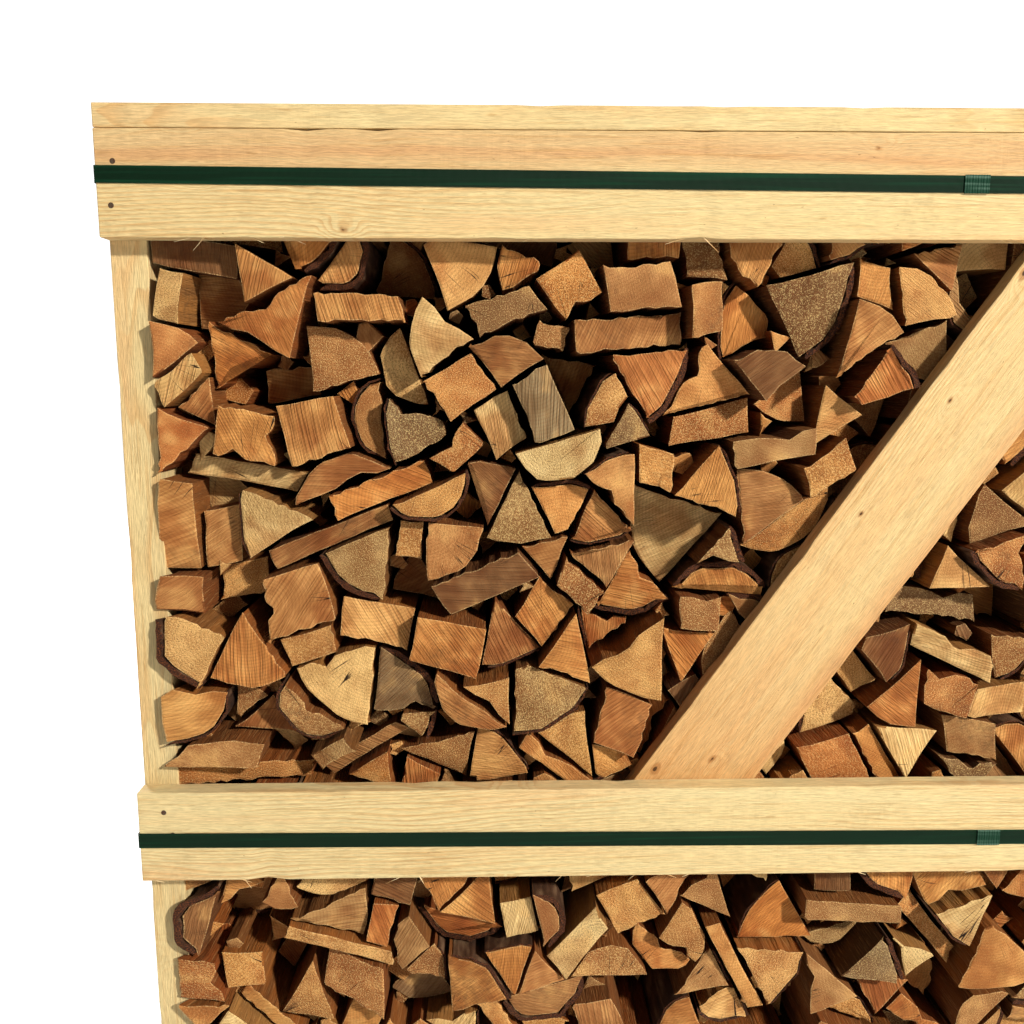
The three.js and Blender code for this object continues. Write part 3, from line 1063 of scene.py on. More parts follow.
CHOSEN = (
    ChosenLog(Split.BLOCK, (44, 72, 0.0, 0.1), -139, 1260, 4, 0.0, 0.25, 0.1),
    ChosenLog(Split.HALF_ROUND, (47, 2), -110, 1213, -93, 1.0, 0.3, 0.65),
    ChosenLog(Split.BLOCK, (108, 44, 0.2, 0.3), -212, 1073, 8, 0.06, 0.0, 0.2),
    ChosenLog(Split.TRIANGLE, (60, 74, 0.2), -500, 1216, 180, 0.34, 0.1, 0.9),
    ChosenLog(Split.BLOCK, (36, 96, -0.1, 0.0), -503, 1146, 7, 0.62, 0.08, 0.1),
    ChosenLog(Split.WEDGE, (98, 54, 0), -50, 1036, -100, 0.66, 0.5, 0.75),
    ChosenLog(Split.HALF_ROUND, (56, 24), -252, 979, -90, 0.6, 0.9, 0.2),
    ChosenLog(Split.BLOCK, (142, 30, 0.0, 0.1), -452, 898, 28, 0.4, 0.45, 0.5),
    ChosenLog(Split.TRIANGLE, (74, 52, 0.0), -422, 1384, 180, 0.5, 0.2, 0.2),
    ChosenLog(Split.HALF_ROUND, (60, 26), -333, 1201, 84, 0.58, 0.5, 0.2),
    ChosenLog(Split.BLOCK, (64, 66, 0.1, 0.1), -371, 1257, -8, 0.5, 0.28, 0.1, 0.0),
    ChosenLog(Split.WEDGE, (64, 88, 0), -497, 1052, 205, 0.86, 0.4, 0.66, 5.0),
    ChosenLog(Split.BLOCK, (78, 52, 0.3, 0.1), -58, 1366, 0, 0.55, 0.3, 0.9),
    ChosenLog(Split.HALF_ROUND, (62, 24), 138, 1150, -38, 0.74, 0.1, 0.6, 0.0),
    ChosenLog(Split.WEDGE, (86, 44, 0), 176, 1330, 80, 0.6, 0.6, 0.1),
    ChosenLog(Split.HALF_ROUND, (47, 10), -240, 1186, -46, 0.7, 0.4, 0.64, 3.2),
    ChosenLog(Split.BLOCK, (76, 40, 0.3, 0.4), -180, 1338, 10, 0.07, 0.3, 0.6),
    ChosenLog(Split.BLOCK, (60, 50, 0.0, 0.0), -256, 1289, 44, 0.8, 0.9, 0.6),
    ChosenLog(Split.WEDGE, (88, 62, 0), -440, 1020, -76, 0.8, 0.25, 0.1),
    ChosenLog(Split.BLOCK, (25, 54, 0.0, 0.0), -510, 1380, 0, 0.9, 0.0, 0.5),
    ChosenLog(Split.BLOCK, (92, 36, 0.3, 0.2), -345, 1342, -6, 0.5, 0.3, 0.1),
    ChosenLog(Split.BLOCK, (64, 56, 0.2, 0.1), -415, 1224, 2, 0.46, 0.32, 0.3),
)


def outline_middle(points: np.ndarray) -> tuple[float, np.ndarray]:
    """Area and middle of an outline.

    Args:
        points: The outline's corners in order.

    Returns:
        The signed area and the centre of area.
    """
    following = np.roll(points, -1, axis=0)
    cross = points[:, 0] * following[:, 1] - following[:, 0] * points[:, 1]
    area = cross.sum() / 2
    return area, ((points + following) * cross[:, None]).sum(0) / (6 * area)


class Stacking:
    """Logs that grow in place, push each other apart, turn and settle, seen from their ends.

    START is the size they grow from, YIELD the share of an overlap that one round takes away, and
    SINK how far they drop in a round, in millimetres. HELD is how freely a chosen log moves. No
    outline has more than CORNERS, and LEAST_AREA is the smallest that is kept, in square
    millimetres. SPREAD widens the outlines of logs that may overlap.
    """

    CORNERS = 9
    START = 0.62
    YIELD = 0.55
    SINK = 0.10
    HELD = 0.25
    LEAST_AREA = 150
    SPREAD = 1.2

    def __init__(self, logs: list[SplitLog], low: tuple, high: tuple,
                 chance: np.random.Generator) -> None:
        """Sets the logs out on a loose grid.

        Args:
            logs: The logs to stack.
            low: Left and lowest limit, in millimetres.
            high: Right and highest limit.
            chance: Where they start and how they are turned.
        """
        count = len(logs)
        self.low, self.high = np.array(low, float), np.array(high, float)
        self.used = np.zeros((count, self.CORNERS), bool)
        self.shapes = np.zeros((count, self.CORNERS, 2))
        for i, one in enumerate(logs):
            corners = len(one.outline)
            self.shapes[i, :corners] = one.outline
            self.shapes[i, corners:] = one.outline[-1]
            self.used[i, :corners] = True
        self.reach = np.linalg.norm(self.shapes, axis=-1).max(1)
        self.ease = 1.0 / (0.6 * (self.shapes ** 2).sum(-1).mean(1))
        self.free = np.array([1.0 if one.spot is None else self.HELD for one in logs])
        size = self.high - self.low
        columns = round(math.sqrt(count * size[0] / size[1]))
        rows = math.ceil(count / columns)
        cells = np.stack(np.divmod(np.arange(columns * rows), columns)[::-1], 1) + 0.5
        spots = self.low + cells / (columns, rows) * size + chance.uniform(-8, 8, cells.shape)
        self.places = spots[chance.permutation(len(spots))[:count]]
        level = np.array([one.level for one in logs])
        self.turns = np.where(level, chance.normal(0, 0.25, count),
                              chance.uniform(0, math.tau, count))
        for i, one in enumerate(logs):
            if one.spot is not None:
                near = i + np.linalg.norm(self.places[i:] - one.spot[:2], axis=1).argmin()
                self.places[near] = self.places[i]
                self.places[i], self.turns[i] = one.spot[:2], math.radians(one.spot[2])
        self.normals = self._edge_normals()

    def _edge_normals(self) -> np.ndarray:
        """Outward normals of every log's sides, before it is turned."""
        last = self.used.sum(1)[:, None] - 1
        index = np.arange(self.CORNERS)[None]
        following = np.where(index < last, index + 1, 0)
        edges = np.take_along_axis(self.shapes, following[..., None].repeat(2, 2), 1) - self.shapes
        normals = np.stack([edges[..., 1], -edges[..., 0]], -1)
        length = np.linalg.norm(normals, axis=-1, keepdims=True)
        return np.where(length > 1e-6, normals / np.maximum(length, 1e-6), 0.0)

    def settle(self, steps: int, grown: float = 0.5, quiet: float = 0.75) -> None:
        """Grows the logs to full size, lets them sink, then lets the last overlaps ease out.

        Args:
            steps: How many rounds of pushing.
            grown: The share of the rounds after which the logs have their full size.
            quiet: The share after which nothing pulls them down any more.
        """
        for step in range(steps):
            part = step / steps
            scale = self.START + (1 - self.START) * min(1.0, part / grown)
            corners, normals = self._turned(scale)
            if step % 6 == 0:
                gaps = np.linalg.norm(self.places[:, None] - self.places[None], axis=-1)
                near = gaps < (self.reach[:, None] + self.reach[None]) * scale + 6
                pairs = np.nonzero(np.triu(near, 1))
            shift, spin = self._push_apart(corners, normals, *pairs)
            wall_shift, wall_spin = self._walls(corners)
            self.places += (shift + wall_shift) * self.YIELD * self.free[:, None]
            self.turns += (spin + wall_spin) * self.YIELD * self.free
            if part < quiet:
                self.places[:, 1] -= self.SINK * self.free
        log.info("stacked %d logs, usual overlap %.1f mm", len(self.places),
                 np.median(self.overlap))

    def _turned(self, scale: float) -> tuple[np.ndarray, np.ndarray]:
        """Corners and normals where the logs are now."""
        c, s = np.cos(self.turns), np.sin(self.turns)
        turn = np.stack([np.stack([c, -s], -1), np.stack([s, c], -1)], -2)
        corners = np.einsum("nij,nkj->nki", turn, self.shapes) * scale + self.places[:, None]
        return corners, np.einsum("nij,nkj->nki", turn, self.normals)

    def _push_apart(self, corners: np.ndarray, normals: np.ndarray, first: np.ndarray,
                    second: np.ndarray) -> tuple[np.ndarray, np.ndarray]:
        """Moves and turns that part the logs that overlap.

        Args:
            corners: Every log's corners.
            normals: Every log's side normals.
            first: One log of each close pair.
            second: The other.

        Returns:
            A shift and a turn for each log. The overlaps are kept too.
        """
        offset = (normals * corners).sum(-1)
        ahead = np.einsum("pki,pji->pkj", normals[first], corners[second])
        behind = np.einsum("pki,pji->pkj", normals[second], corners[first])
        depth_a = np.where(self.used[first], offset[first] - ahead.min(-1), 1e9)
        depth_b = np.where(self.used[second], offset[second] - behind.min(-1), 1e9)
        side_a, side_b = depth_a.argmin(1), depth_b.argmin(1)
        row = np.arange(len(first))
        by_first = depth_a[row, side_a] <= depth_b[row, side_b]
        depth = np.where(by_first, depth_a[row, side_a], depth_b[row, side_b])
        normal = np.where(by_first[:, None], normals[first][row, side_a],
                          -normals[second][row, side_b])
        inside = np.where(by_first[:, None],
                          offset[first][row, side_a][:, None] - ahead[row, side_a],
                          offset[second][row, side_b][:, None] - behind[row, side_b])
        used = np.where(by_first[:, None], self.used[second], self.used[first])
        touched = np.where(by_first[:, None, None], corners[second], corners[first])
        contact = self._contact(touched, inside, inside.max(1), used)

        hit = depth > 0
        first, second, depth, normal, contact = (
            x[hit] for x in (first, second, depth, normal, contact))
        self.overlap = depth
        arms = [contact - self.places[first], contact - self.places[second]]
        levers = [arm[:, 0] * normal[:, 1] - arm[:, 1] * normal[:, 0] for arm in arms]
        yielding = (self.free[first] * (1 + levers[0] ** 2 * self.ease[first])
                    + self.free[second] * (1 + levers[1] ** 2 * self.ease[second]))
        push = depth / np.maximum(yielding, 1e-9)
        shift, spin = np.zeros_like(self.places), np.zeros(len(corners))
        np.add.at(shift, first, -push[:, None] * normal)
        np.add.at(shift, second, push[:, None] * normal)
        np.add.at(spin, first, -push * levers[0] * self.ease[first])
        np.add.at(spin, second, push * levers[1] * self.ease[second])
        return shift, spin

    @staticmethod
    def _contact(corners: np.ndarray, inside: np.ndarray, deepest: np.ndarray,
                 used: np.ndarray) -> np.ndarray:
        """Where each log is touched: its deepest corners, averaged.

        Args:
            corners: Every log's corners.
            inside: How deep each corner lies.
            deepest: The greatest of those depths for each log.
            used: Which corners are real.

        Returns:
            A place for each log.
        """
        weight = np.where(used, np.exp(np.clip((inside - deepest[:, None]) / 2, -30, 0)), 0)
        return (corners * weight[..., None]).sum(1) / weight.sum(1, keepdims=True)

    def _walls(self, corners: np.ndarray) -> tuple[np.ndarray, np.ndarray]:
        """Moves and turns that keep the logs between the crate's sides."""
        shift, spin = np.zeros_like(self.places), np.zeros(len(corners))
        for axis, limit, sign in ((0, self.low[0], 1), (0, self.high[0], -1),
                                  (1, self.low[1], 1), (1, self.high[1], -1)):
            inside = np.where(self.used, (limit - corners[..., axis]) * sign, -1e9)
            depth = inside.max(1)
            arm = self._contact(corners, inside, depth, self.used) - self.places
            lever = -arm[:, 1] * sign if axis == 0 else arm[:, 0] * sign
            push = np.where(depth > 0, 1.3 * depth / (1 + lever ** 2 * self.ease), 0)
            shift[:, axis] += push * sign
            spin += push * lever * self.ease
        return shift, spin

    def laid_out(self, logs: list[SplitLog], gap: float) -> list["Placed"]:
        """Where each log came to lie, with what still overlaps pared off both logs.

        Args:
            logs: The logs, as they were given.
            gap: Half the gap that is left between two logs, less than 0 to let them overlap.

        Returns:
            The logs that are left, in the crate's X and Z in millimetres.
        """
        corners, normals = self._turned(1.0)
        outlines = [corners[i, :len(one.outline)] for i, one in enumerate(logs)]
        for i, j, side in self._closest_sides(corners, normals, gap):
            normal = normals[i, side]
            level = (normal @ corners[i, side] + (corners[j][self.used[j]] @ normal).min()) / 2
            outlines[i] = clipped(outlines[i], normal, level - gap)
            outlines[j] = clipped(outlines[j], -normal, -level - gap)
        placed = []
        for i, (one, outline) in enumerate(zip(logs, outlines)):
            for axis in (0, 1):
                way = np.eye(2)[axis]
                outline = clipped(outline, way, self.high[axis] - gap)
                outline = clipped(outline, -way, -self.low[axis] - gap)
            if len(outline) > 2 and outline_middle(outline)[0] > self.LEAST_AREA:
                c, s = math.cos(self.turns[i]), math.sin(self.turns[i])
                pith = np.array([[c, -s], [s, c]]) @ one.pith + self.places[i]
                if gap < 0:
                    outline = outline.mean(0) + (outline - outline.mean(0)) * self.SPREAD
                placed.append(Placed(one, outline, pith))
        log.info("laid out %d of %d logs", len(placed), len(logs))
        return placed

    def sticks(self, placed: list["Placed"], chance: np.random.Generator, cell: float = 3.0,
               least: float = 9.0) -> list["Placed"]:
        """Thin sticks for the widest gaps between the logs, set further back than the logs.

        Args:
            placed: The logs in their places.
            chance: Where the sticks' shapes and tones come from.
            cell: How finely the gaps are looked for, in millimetres.
            least: Radius of the smallest gap that gets a stick.

        Returns:
            The sticks in their places.
        """
        across, up = (np.arange(low + cell / 2, high, cell)
                      for low, high in zip(self.low, self.high))
        free = np.zeros((len(across), len(up)), bool)
        free[1:-1, 1:-1] = True
        for one in placed:
            spans = [slice(*np.searchsorted(line, (reach.min(), reach.max())))
                     for line, reach in zip((across, up), one.outline.T)]
            x, z = np.meshgrid(across[spans[0]], up[spans[1]], indexing="ij")
            ways = np.roll(one.outline, -1, axis=0) - one.outline
            inside = np.ones(x.shape, bool)
            for (px, pz), (wx, wz) in zip(one.outline, ways):
                inside &= wx * (z - pz) - wz * (x - px) > 0
            free[spans[0], spans[1]] &= ~inside
        room = np.zeros(free.shape)
        for _ in range(12):
            room[free] += cell
            kept = free.copy()
            for axis, step in ((0, 1), (0, -1), (1, 1), (1, -1)):
                kept &= np.roll(free, step, axis)
            free = kept
        # By the open sides the sticks are thicker, so that nothing shows through there.
        margin = np.minimum(across - self.low[0], self.high[0] - across)
        room += 6 * (room > 0) * (margin < 70)[:, None]
        made = []
        while room.max() >= least:
            i, j = np.unravel_index(room.argmax(), room.shape)
            radius, centre = room[i, j], np.array((across[i], up[j]))
            away = np.hypot(across[:, None] - centre[0], up[None] - centre[1])
            room[away < radius * 1.7] = 0
            sides = int(chance.integers(3, 6))
            turns = (np.arange(sides) + chance.uniform(-0.25, 0.25, sides)) / sides * math.tau
            outline = np.stack([np.cos(turns), np.sin(turns)], 1) * radius
            outline *= chance.uniform(0.9, 1.25)
            stick = SplitLog(outline, chance.uniform(-90, 90, 2), 0.0, chance.random(3))
            made.append(Placed(stick, outline + centre, stick.pith + centre,
                               chance.uniform(12, 60)))
        log.info("%d sticks between the logs", len(made))
        return made

    def _closest_sides(self, corners: np.ndarray, normals: np.ndarray, gap: float) -> list[tuple]:
        """The side along which each close pair of logs is best parted.

        Args:
            corners: Every log's corners.
            normals: Every log's side normals.
            gap: Half the gap that is wanted between two logs.

        Returns:
            For each pair that is too close: the side's log, the other log and the side.
        """
        gaps = np.linalg.norm(self.places[:, None] - self.places[None], axis=-1)
        first, second = np.nonzero(np.triu(gaps < self.reach[:, None] + self.reach[None] + 4, 1))
        depths = []
        for own, other in ((first, second), (second, first)):
            offset = (normals[own] * corners[own]).sum(-1)
            ahead = np.einsum("pki,pji->pkj", normals[own], corners[other]).min(-1)
            depths.append(np.where(self.used[own], offset - ahead, 1e9))
        found = []
        for p in range(len(first)):
            sides = [int(depth[p].argmin()) for depth in depths]
            least = [float(depth[p, side]) for depth, side in zip(depths, sides)]
            if min(least) > -2 * gap:
                owner = int(least[1] < least[0])
                pair = (int(first[p]), int(second[p]))
                found.append((pair[owner], pair[1 - owner], sides[owner]))
        return found


@dataclass
class Placed:
    """A log in its place: the log, its outline, its pith and how far back it is pushed."""

    log: SplitLog
    outline: np.ndarray
    pith: np.ndarray
    sunk: float = 0.0

    def arcs(self) -> list[int]:
        """How each side of the outline, from its corner to the next, follows the round.

        Returns:
            2 for a side that was sawn as part of the round, 1 for one that is pared off close
            under the bark, and 0 for a split side.
        """
        if not self.log.rim:
            return [0] * len(self.outline)
        under = self.log.rim - np.linalg.norm(self.outline - self.pith, axis=1)
        ends = np.maximum(under, np.roll(under, -1))
        middle = (self.outline + np.roll(self.outline, -1, axis=0)) / 2
        sag = self.log.rim - np.linalg.norm(middle - self.pith, axis=1)
        return [2 if end < 0.6 and deep < 1.7 else int(end < 6.0 and deep < 6.5)
                for end, deep in zip(ends, sag)]


def clipped(outline: np.ndarray, normal: np.ndarray, level: float) -> np.ndarray:
    """Cuts off what lies beyond a line.

    Args:
        outline: The corners in order.
        normal: The line's normal, towards what is cut off.
        level: The line's distance from the origin along it.

    Returns:
        The corners that are left, with new ones on the line.
    """
    kept = []
    beyond = outline @ normal - level if len(outline) else []
    for i, (point, far) in enumerate(zip(outline, beyond)):
        last, last_far = outline[i - 1], beyond[i - 1]
        if (far > 0) != (last_far > 0):
            kept.append(last + (point - last) * (last_far / (last_far - far)))
        if far <= 0:
            kept.append(point)
    return np.array(kept)


@dataclass
class LogRow:
    """One row of logs, drawn with its outer ends towards the front and turned if it is another."""

    name: str
    node: str
    placed: list[Placed]
    chance: np.random.Generator
    turned: bool = False
    outer: bool = True
    spacing: float = 15.0
    lengths: tuple = (0.0, 0.006, 0.05, 1.0)
    log_length: float = 0.330
    ragged_spacing: float = 6.5
    ragged_share: float = 0.35
    edge_width: float = 1.8 * MM
    flare: float = 13 * MM
    flare_reach: float = 30 * MM
    flare_below: float = 1.20
    hollow_share: float = 0.16

    def build(self, material: bpy.types.Material) -> bpy.types.Object:
        """Makes the row's mesh and dresses it.

        Args:
            material: The firewood finish.

        Returns:
            The row.
        """
        bm = bmesh.new()
        number = bm.verts.layers.int.new("log")
        station = bm.verts.layers.float.new("station")
        edge = bm.verts.layers.float.new("edge")
        bark = bm.verts.layers.float.new("bark")
        caps, strips = [], []
        for i, one in enumerate(self.placed):
            shapes = [(self._fine(one), caps, 0.0)]
            shapes += [(strip, strips, 1.0) for strip in self._bark_strips(one)]
            for points, kept, barky in shapes:
                verts = [bm.verts.new((x * MM, 0.0, z * MM)) for x, z in points]
                for vert in verts:
                    vert[number] = i
                    vert[bark] = barky
                kept.append(bm.faces.new(verts))
        faces = caps + strips
        for i, part in enumerate(self.lengths[1:]):
            made = bmesh.ops.extrude_face_region(bm, geom=faces, use_keep_orig=i == 0)["geom"]
            faces = [g for g in made if isinstance(g, bmesh.types.BMFace)]
            for vert in (g for g in made if isinstance(g, bmesh.types.BMVert)):
                vert[station] = part
        if self.outer:
            bmesh.ops.inset_individual(bm, faces=caps, thickness=self.edge_width,
                                       use_even_offset=False)
            for i, cap in enumerate(caps):
                for vert in cap.verts:
                    vert[number] = i
                    vert[edge] = 1.0
        piece = finish_piece(self.name, bm, material, "firewood", self.node)
        self._shape(piece.data)
        return piece

    def _fine(self, one: Placed) -> list[np.ndarray]:
        """The outline with more points: round where there is bark, uneven where it was split.

        Args:
            one: The log in its place.

        Returns:
            The finer outline's points.
        """
        points = []
        middle = one.outline.mean(0)
        draw = self.chance.uniform
        for a, b, arc in zip(one.outline, np.roll(one.outline, -1, axis=0), one.arcs()):
            length = np.linalg.norm(b - a)
            ragged = not arc and self.outer and draw() < self.ragged_share
            steps = max(1, round(length / (self.ragged_spacing if ragged else self.spacing)))
            inward = np.array([-(b - a)[1], (b - a)[0]]) / max(length, 1e-6)
            bow, tear = draw(-0.4, 1.6), 3.0 if ragged else 1.0
            notch = draw(0.3, 0.7) if length > 45 and draw() < 0.14 else None
            for k in range(steps):
                t = k / steps
                point = a + (b - a) * t
                if arc:
                    away = point - one.pith
                    radius = one.log.rim if arc == 2 else np.linalg.norm(away)
                    peeled = one.log.bark + 1.0 if one.log.bark else draw(0, 1.0)
                    point = one.pith + away * (radius - peeled) / np.linalg.norm(away)
                else:
                    dent = 8.0 * math.exp(-((t - notch) / 0.12) ** 2) if notch else 0.0
                    point = point + inward * (bow * math.sin(math.pi * t) + draw(0, tear) + dent)
                if k == 0:
                    point = point + (middle - point) * draw(0, 0.04)
                points.append(point)
        return points

    def _bark_strips(self, one: Placed) -> list[list[np.ndarray]]:
        """The outlines of a log's bark, a little loose from the wood and worn at the ends.

        Args:
            one: The log in its place.

        Returns:
            Each strip's points, outer face first. There are none for a log without bark.
        """
        arcs = one.arcs()
        if not self.outer or not one.log.bark or not any(arcs) or all(arcs):
            return []
        count, strips = len(arcs), []
        for start in (i for i in range(count) if arcs[i] and not arcs[i - 1]):
            outer, side = [], start
            while arcs[side % count]:
                a, b = one.outline[side % count], one.outline[(side + 1) % count]
                steps = max(1, round(np.linalg.norm(b - a) / 6))
                for k in range(steps + (not arcs[(side + 1) % count])):
                    away = a + (b - a) * k / steps - one.pith
                    radius = np.linalg.norm(away)
                    reach = one.log.rim if arcs[side % count] == 2 else radius
                    outer.append(away / radius * (reach + self.chance.uniform(-0.9, 0.4)))
                side += 1
            worn = self.chance.integers(0, 2, 2)
            outer = np.array(outer[worn[0]:len(outer) - worn[1]])
            if len(outer) < 4:
                continue
            thick = one.log.bark * self.chance.uniform(0.65, 1.2, len(outer))
            thick[[0, -1]] *= 0.5
            inner = outer * (1 - thick / np.linalg.norm(outer, axis=1))[:, None]
            strips.append([*(one.pith + outer), *(one.pith + inner)[::-1]])
        return strips

    def _shape(self, mesh: bpy.types.Mesh) -> None:
        """Gives each log its place in depth, its slanting cut, taper and torn sides.

        Args:
            mesh: The row's mesh, with every log flat ended and starting at Y = 0.
        """
        count = len(mesh.vertices)
        place = np.empty(count * 3)
        mesh.vertices.foreach_get("co", place)
        place = place.reshape(-1, 3)
        number = get_floats(mesh, "log", np.int32)
        station, edge = get_floats(mesh, "station"), get_floats(mesh, "edge")

        total = len(self.placed)
        middles = np.array([one.outline.mean(0) for one in self.placed]) * MM
        piths = np.array([one.pith for one in self.placed]) * MM
        fronts, slopes = self._depths(middles)
        lengths = self.log_length + self.chance.normal(0, 4 * MM, total)
        taper = self.chance.uniform(-0.07, 0.02, total)[number] * np.minimum(1, station * 3)
        lean = self.chance.normal(0, 2.5 * MM, (total, 2))

        flat = place[:, (0, 2)]
        away = flat - middles[number]
        torn = np.array([noise.noise(Vector((x * 45, s * 5 + n * 3.7, z * 45)))
                         for (x, z), s, n in zip(flat, station, number)])
        shrink = 1 - taper - np.clip(torn + 0.3, 0, 1) * 0.04 * (station > 0)
        moved = middles[number] + away * shrink[:, None] + lean[number] * station[:, None]
        ragged = self.chance.uniform(0, 1.2 * MM, count) * (edge == 0) * (station == 0)
        depth = fronts[number] + (away * slopes[number]).sum(1) * (station < 0.5)
        depth = depth + station * lengths[number] + ragged
        wall = -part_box(self.node)[0][0]
        side = np.clip(moved[:, 0], 0.4 * MM - wall, wall - 0.4 * MM)
        if self.outer:
            near = np.clip((np.abs(side) - wall + self.flare_reach) / (26 * MM), 0, 1) ** 2
            low_down = np.clip((self.flare_below - moved[:, 1]) / 0.12, 0, 1)
            side = side + np.sign(side) * near * low_down * self.flare * (station < 0.03)
        place = np.stack([side, depth, moved[:, 1]], 1)

        centre = middles[number] + lean[number] * station[:, None]
        pith = centre + (piths[number] - middles[number]) * shrink[:, None]
        from_pith = np.insert(moved - pith, 1, station * lengths[number], axis=1)
        luck = np.array([one.log.luck for one in self.placed])[number]
        if self.turned:
            place[:, :2] *= -1
        mesh.vertices.foreach_set("co", place.ravel())
        set_floats(mesh, "from_pith", from_pith)
        set_floats(mesh, "log_luck", luck)
        mesh.update()
        normals = np.array([polygon.normal[1] for polygon in mesh.polygons])
        set_floats(mesh, "sawn_end", (np.abs(normals) > 0.8).astype(float), "FACE")

    def _depths(self, middles: np.ndarray) -> tuple[np.ndarray, np.ndarray]:
        """How far back each log's sawn end lies, and how it slants.

        Args:
            middles: The logs' middles, in metres.

        Returns:
            The ends' Y, and their slopes along X and Z.
        """
        total = len(self.placed)
        slopes = np.tan(np.radians(self.chance.normal(0, 4.5, (total, 2))))
        if not self.outer:
            return self.chance.normal(-self.log_length / 2, 5 * MM, total), slopes
        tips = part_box(self.node)[0][1] if not self.turned else -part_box(self.node)[1][1]
        loose = np.array([one.log.spot is None for one in self.placed])
        fronts = tips + 8 * MM + loose * np.abs(self.chance.normal(0, 16 * MM, total))
        deep = loose & (self.chance.random(total) < self.hollow_share)
        fronts += deep * self.chance.uniform(15 * MM, 80 * MM, total)
        reach = np.array([np.abs(one.outline[:, 0]).max() for one in self.placed]) * MM
        sunk = np.array([one.sunk for one in self.placed]) * MM
        fronts += sunk
        beside = (reach > -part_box(self.node)[0][0] - 12 * MM) & (sunk == 0)
        fronts[beside] = tips + self.chance.uniform(1 * MM, 7 * MM, beside.sum())
        for i, one in enumerate(self.placed):
            overhang = np.abs((one.outline * MM - middles[i]) @ slopes[i]).max()
            fronts[i] = max(fronts[i], tips + overhang, self._behind(one.outline * MM) + overhang)
        return fronts, slopes

    def _behind(self, outline: np.ndarray) -> float:
        """The least Y that keeps a log behind the rails and the brace that it crosses."""
        least = -FAR_OFF
        for level in ("bottom", "middle", "top"):
            low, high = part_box(f"rail_front_{level}")
            reaches = FAR_OFF if level == "top" else high[2]
            if outline[:, 1].max() > low[2] - BEHIND and outline[:, 1].min() < reaches + BEHIND:
                least = max(least, high[1] + BEHIND)
        low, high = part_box("brace_front")
        across, near, far = brace_strip("brace_front")
        offsets = outline @ (across.x, across.z)
        crossed = offsets.max() > near - BEHIND and offsets.min() < far + BEHIND
        if crossed and outline[:, 1].max() > low[2]:
            least = max(least, high[1] + BEHIND)
        return least


class Firewood:
    """The three rows of logs.

    FILL is the share of a row that is wood. The steps are rounds of pushing in the stacking. The
    gaps are half of what is left between two logs, in millimetres.
    """

    FILL = 0.955
    STEPS = 900
    QUICK_STEPS = 120
    OUTER_GAP = 1.5
    INNER_GAP = -5.0

    def __init__(self, material: bpy.types.Material) -> None:
        """Keeps the finish."""
        self.material = material

    def build(self) -> None:
        """Stacks and models the rows."""
        low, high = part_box("firewood_row_front")
        corner_low = (low[0] / MM, (low[2] + 1 * MM) / MM)
        corner_high = (high[0] / MM, high[2] / MM)
        stacks = []
        for seed, chosen in ((11, CHOSEN), (23, ())):
            chance = np.random.default_rng(seed)
            logs = self._logs(chance, chosen)
            stacking = Stacking(logs, corner_low, corner_high, chance)
            stacking.settle(self.STEPS)
            stacks.append((logs, stacking))
        rows = [("firewood_front_logs", "firewood_row_front", 0, False, True),
                ("firewood_middle_logs", "firewood_row_middle", 1, False, False),
                ("firewood_back_logs", "firewood_row_back", 1, True, True)]
        for number, (name, node, stack, turned, outer) in enumerate(rows):
            chance = np.random.default_rng(100 + number)
            logs, stacking = stacks[stack]
            placed = stacking.laid_out(logs, self.OUTER_GAP if outer else self.INNER_GAP)
            row = LogRow(name, node, placed, chance, turned, outer)
            if outer:
                placed += stacking.sticks(placed, chance)
            else:
                row.spacing, row.lengths = 60.0, (0.0, 1.0)
            row.build(self.material)
            log.info("%s built", name)

    def _logs(self, chance: np.random.Generator, chosen: tuple) -> list[SplitLog]:
        """Splits enough wood for a row.

        Args:
            chance: Where the logs' kinds and sizes come from.
            chosen: Logs that are set at given spots.

        Returns:
            The logs, the chosen ones first.
        """
        kinds = list(Split)
        shares = np.array([kind.value for kind in kinds])
        logs = [one.cut(chance) for one in chosen]
        low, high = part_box("firewood_row_front")
        wanted = self.FILL * (high[0] - low[0]) * (high[2] - low[2]) / MM ** 2
        area = sum(outline_middle(one.outline)[0] for one in logs)
        while area < wanted:
            kind = kinds[chance.choice(len(kinds), p=shares / shares.sum())]
            logs.append(SplitLog.cut(kind, chance))
            area += outline_middle(logs[-1].outline)[0]
        return logs


# ---- Fastenings --------------------------------------------------------------------------------


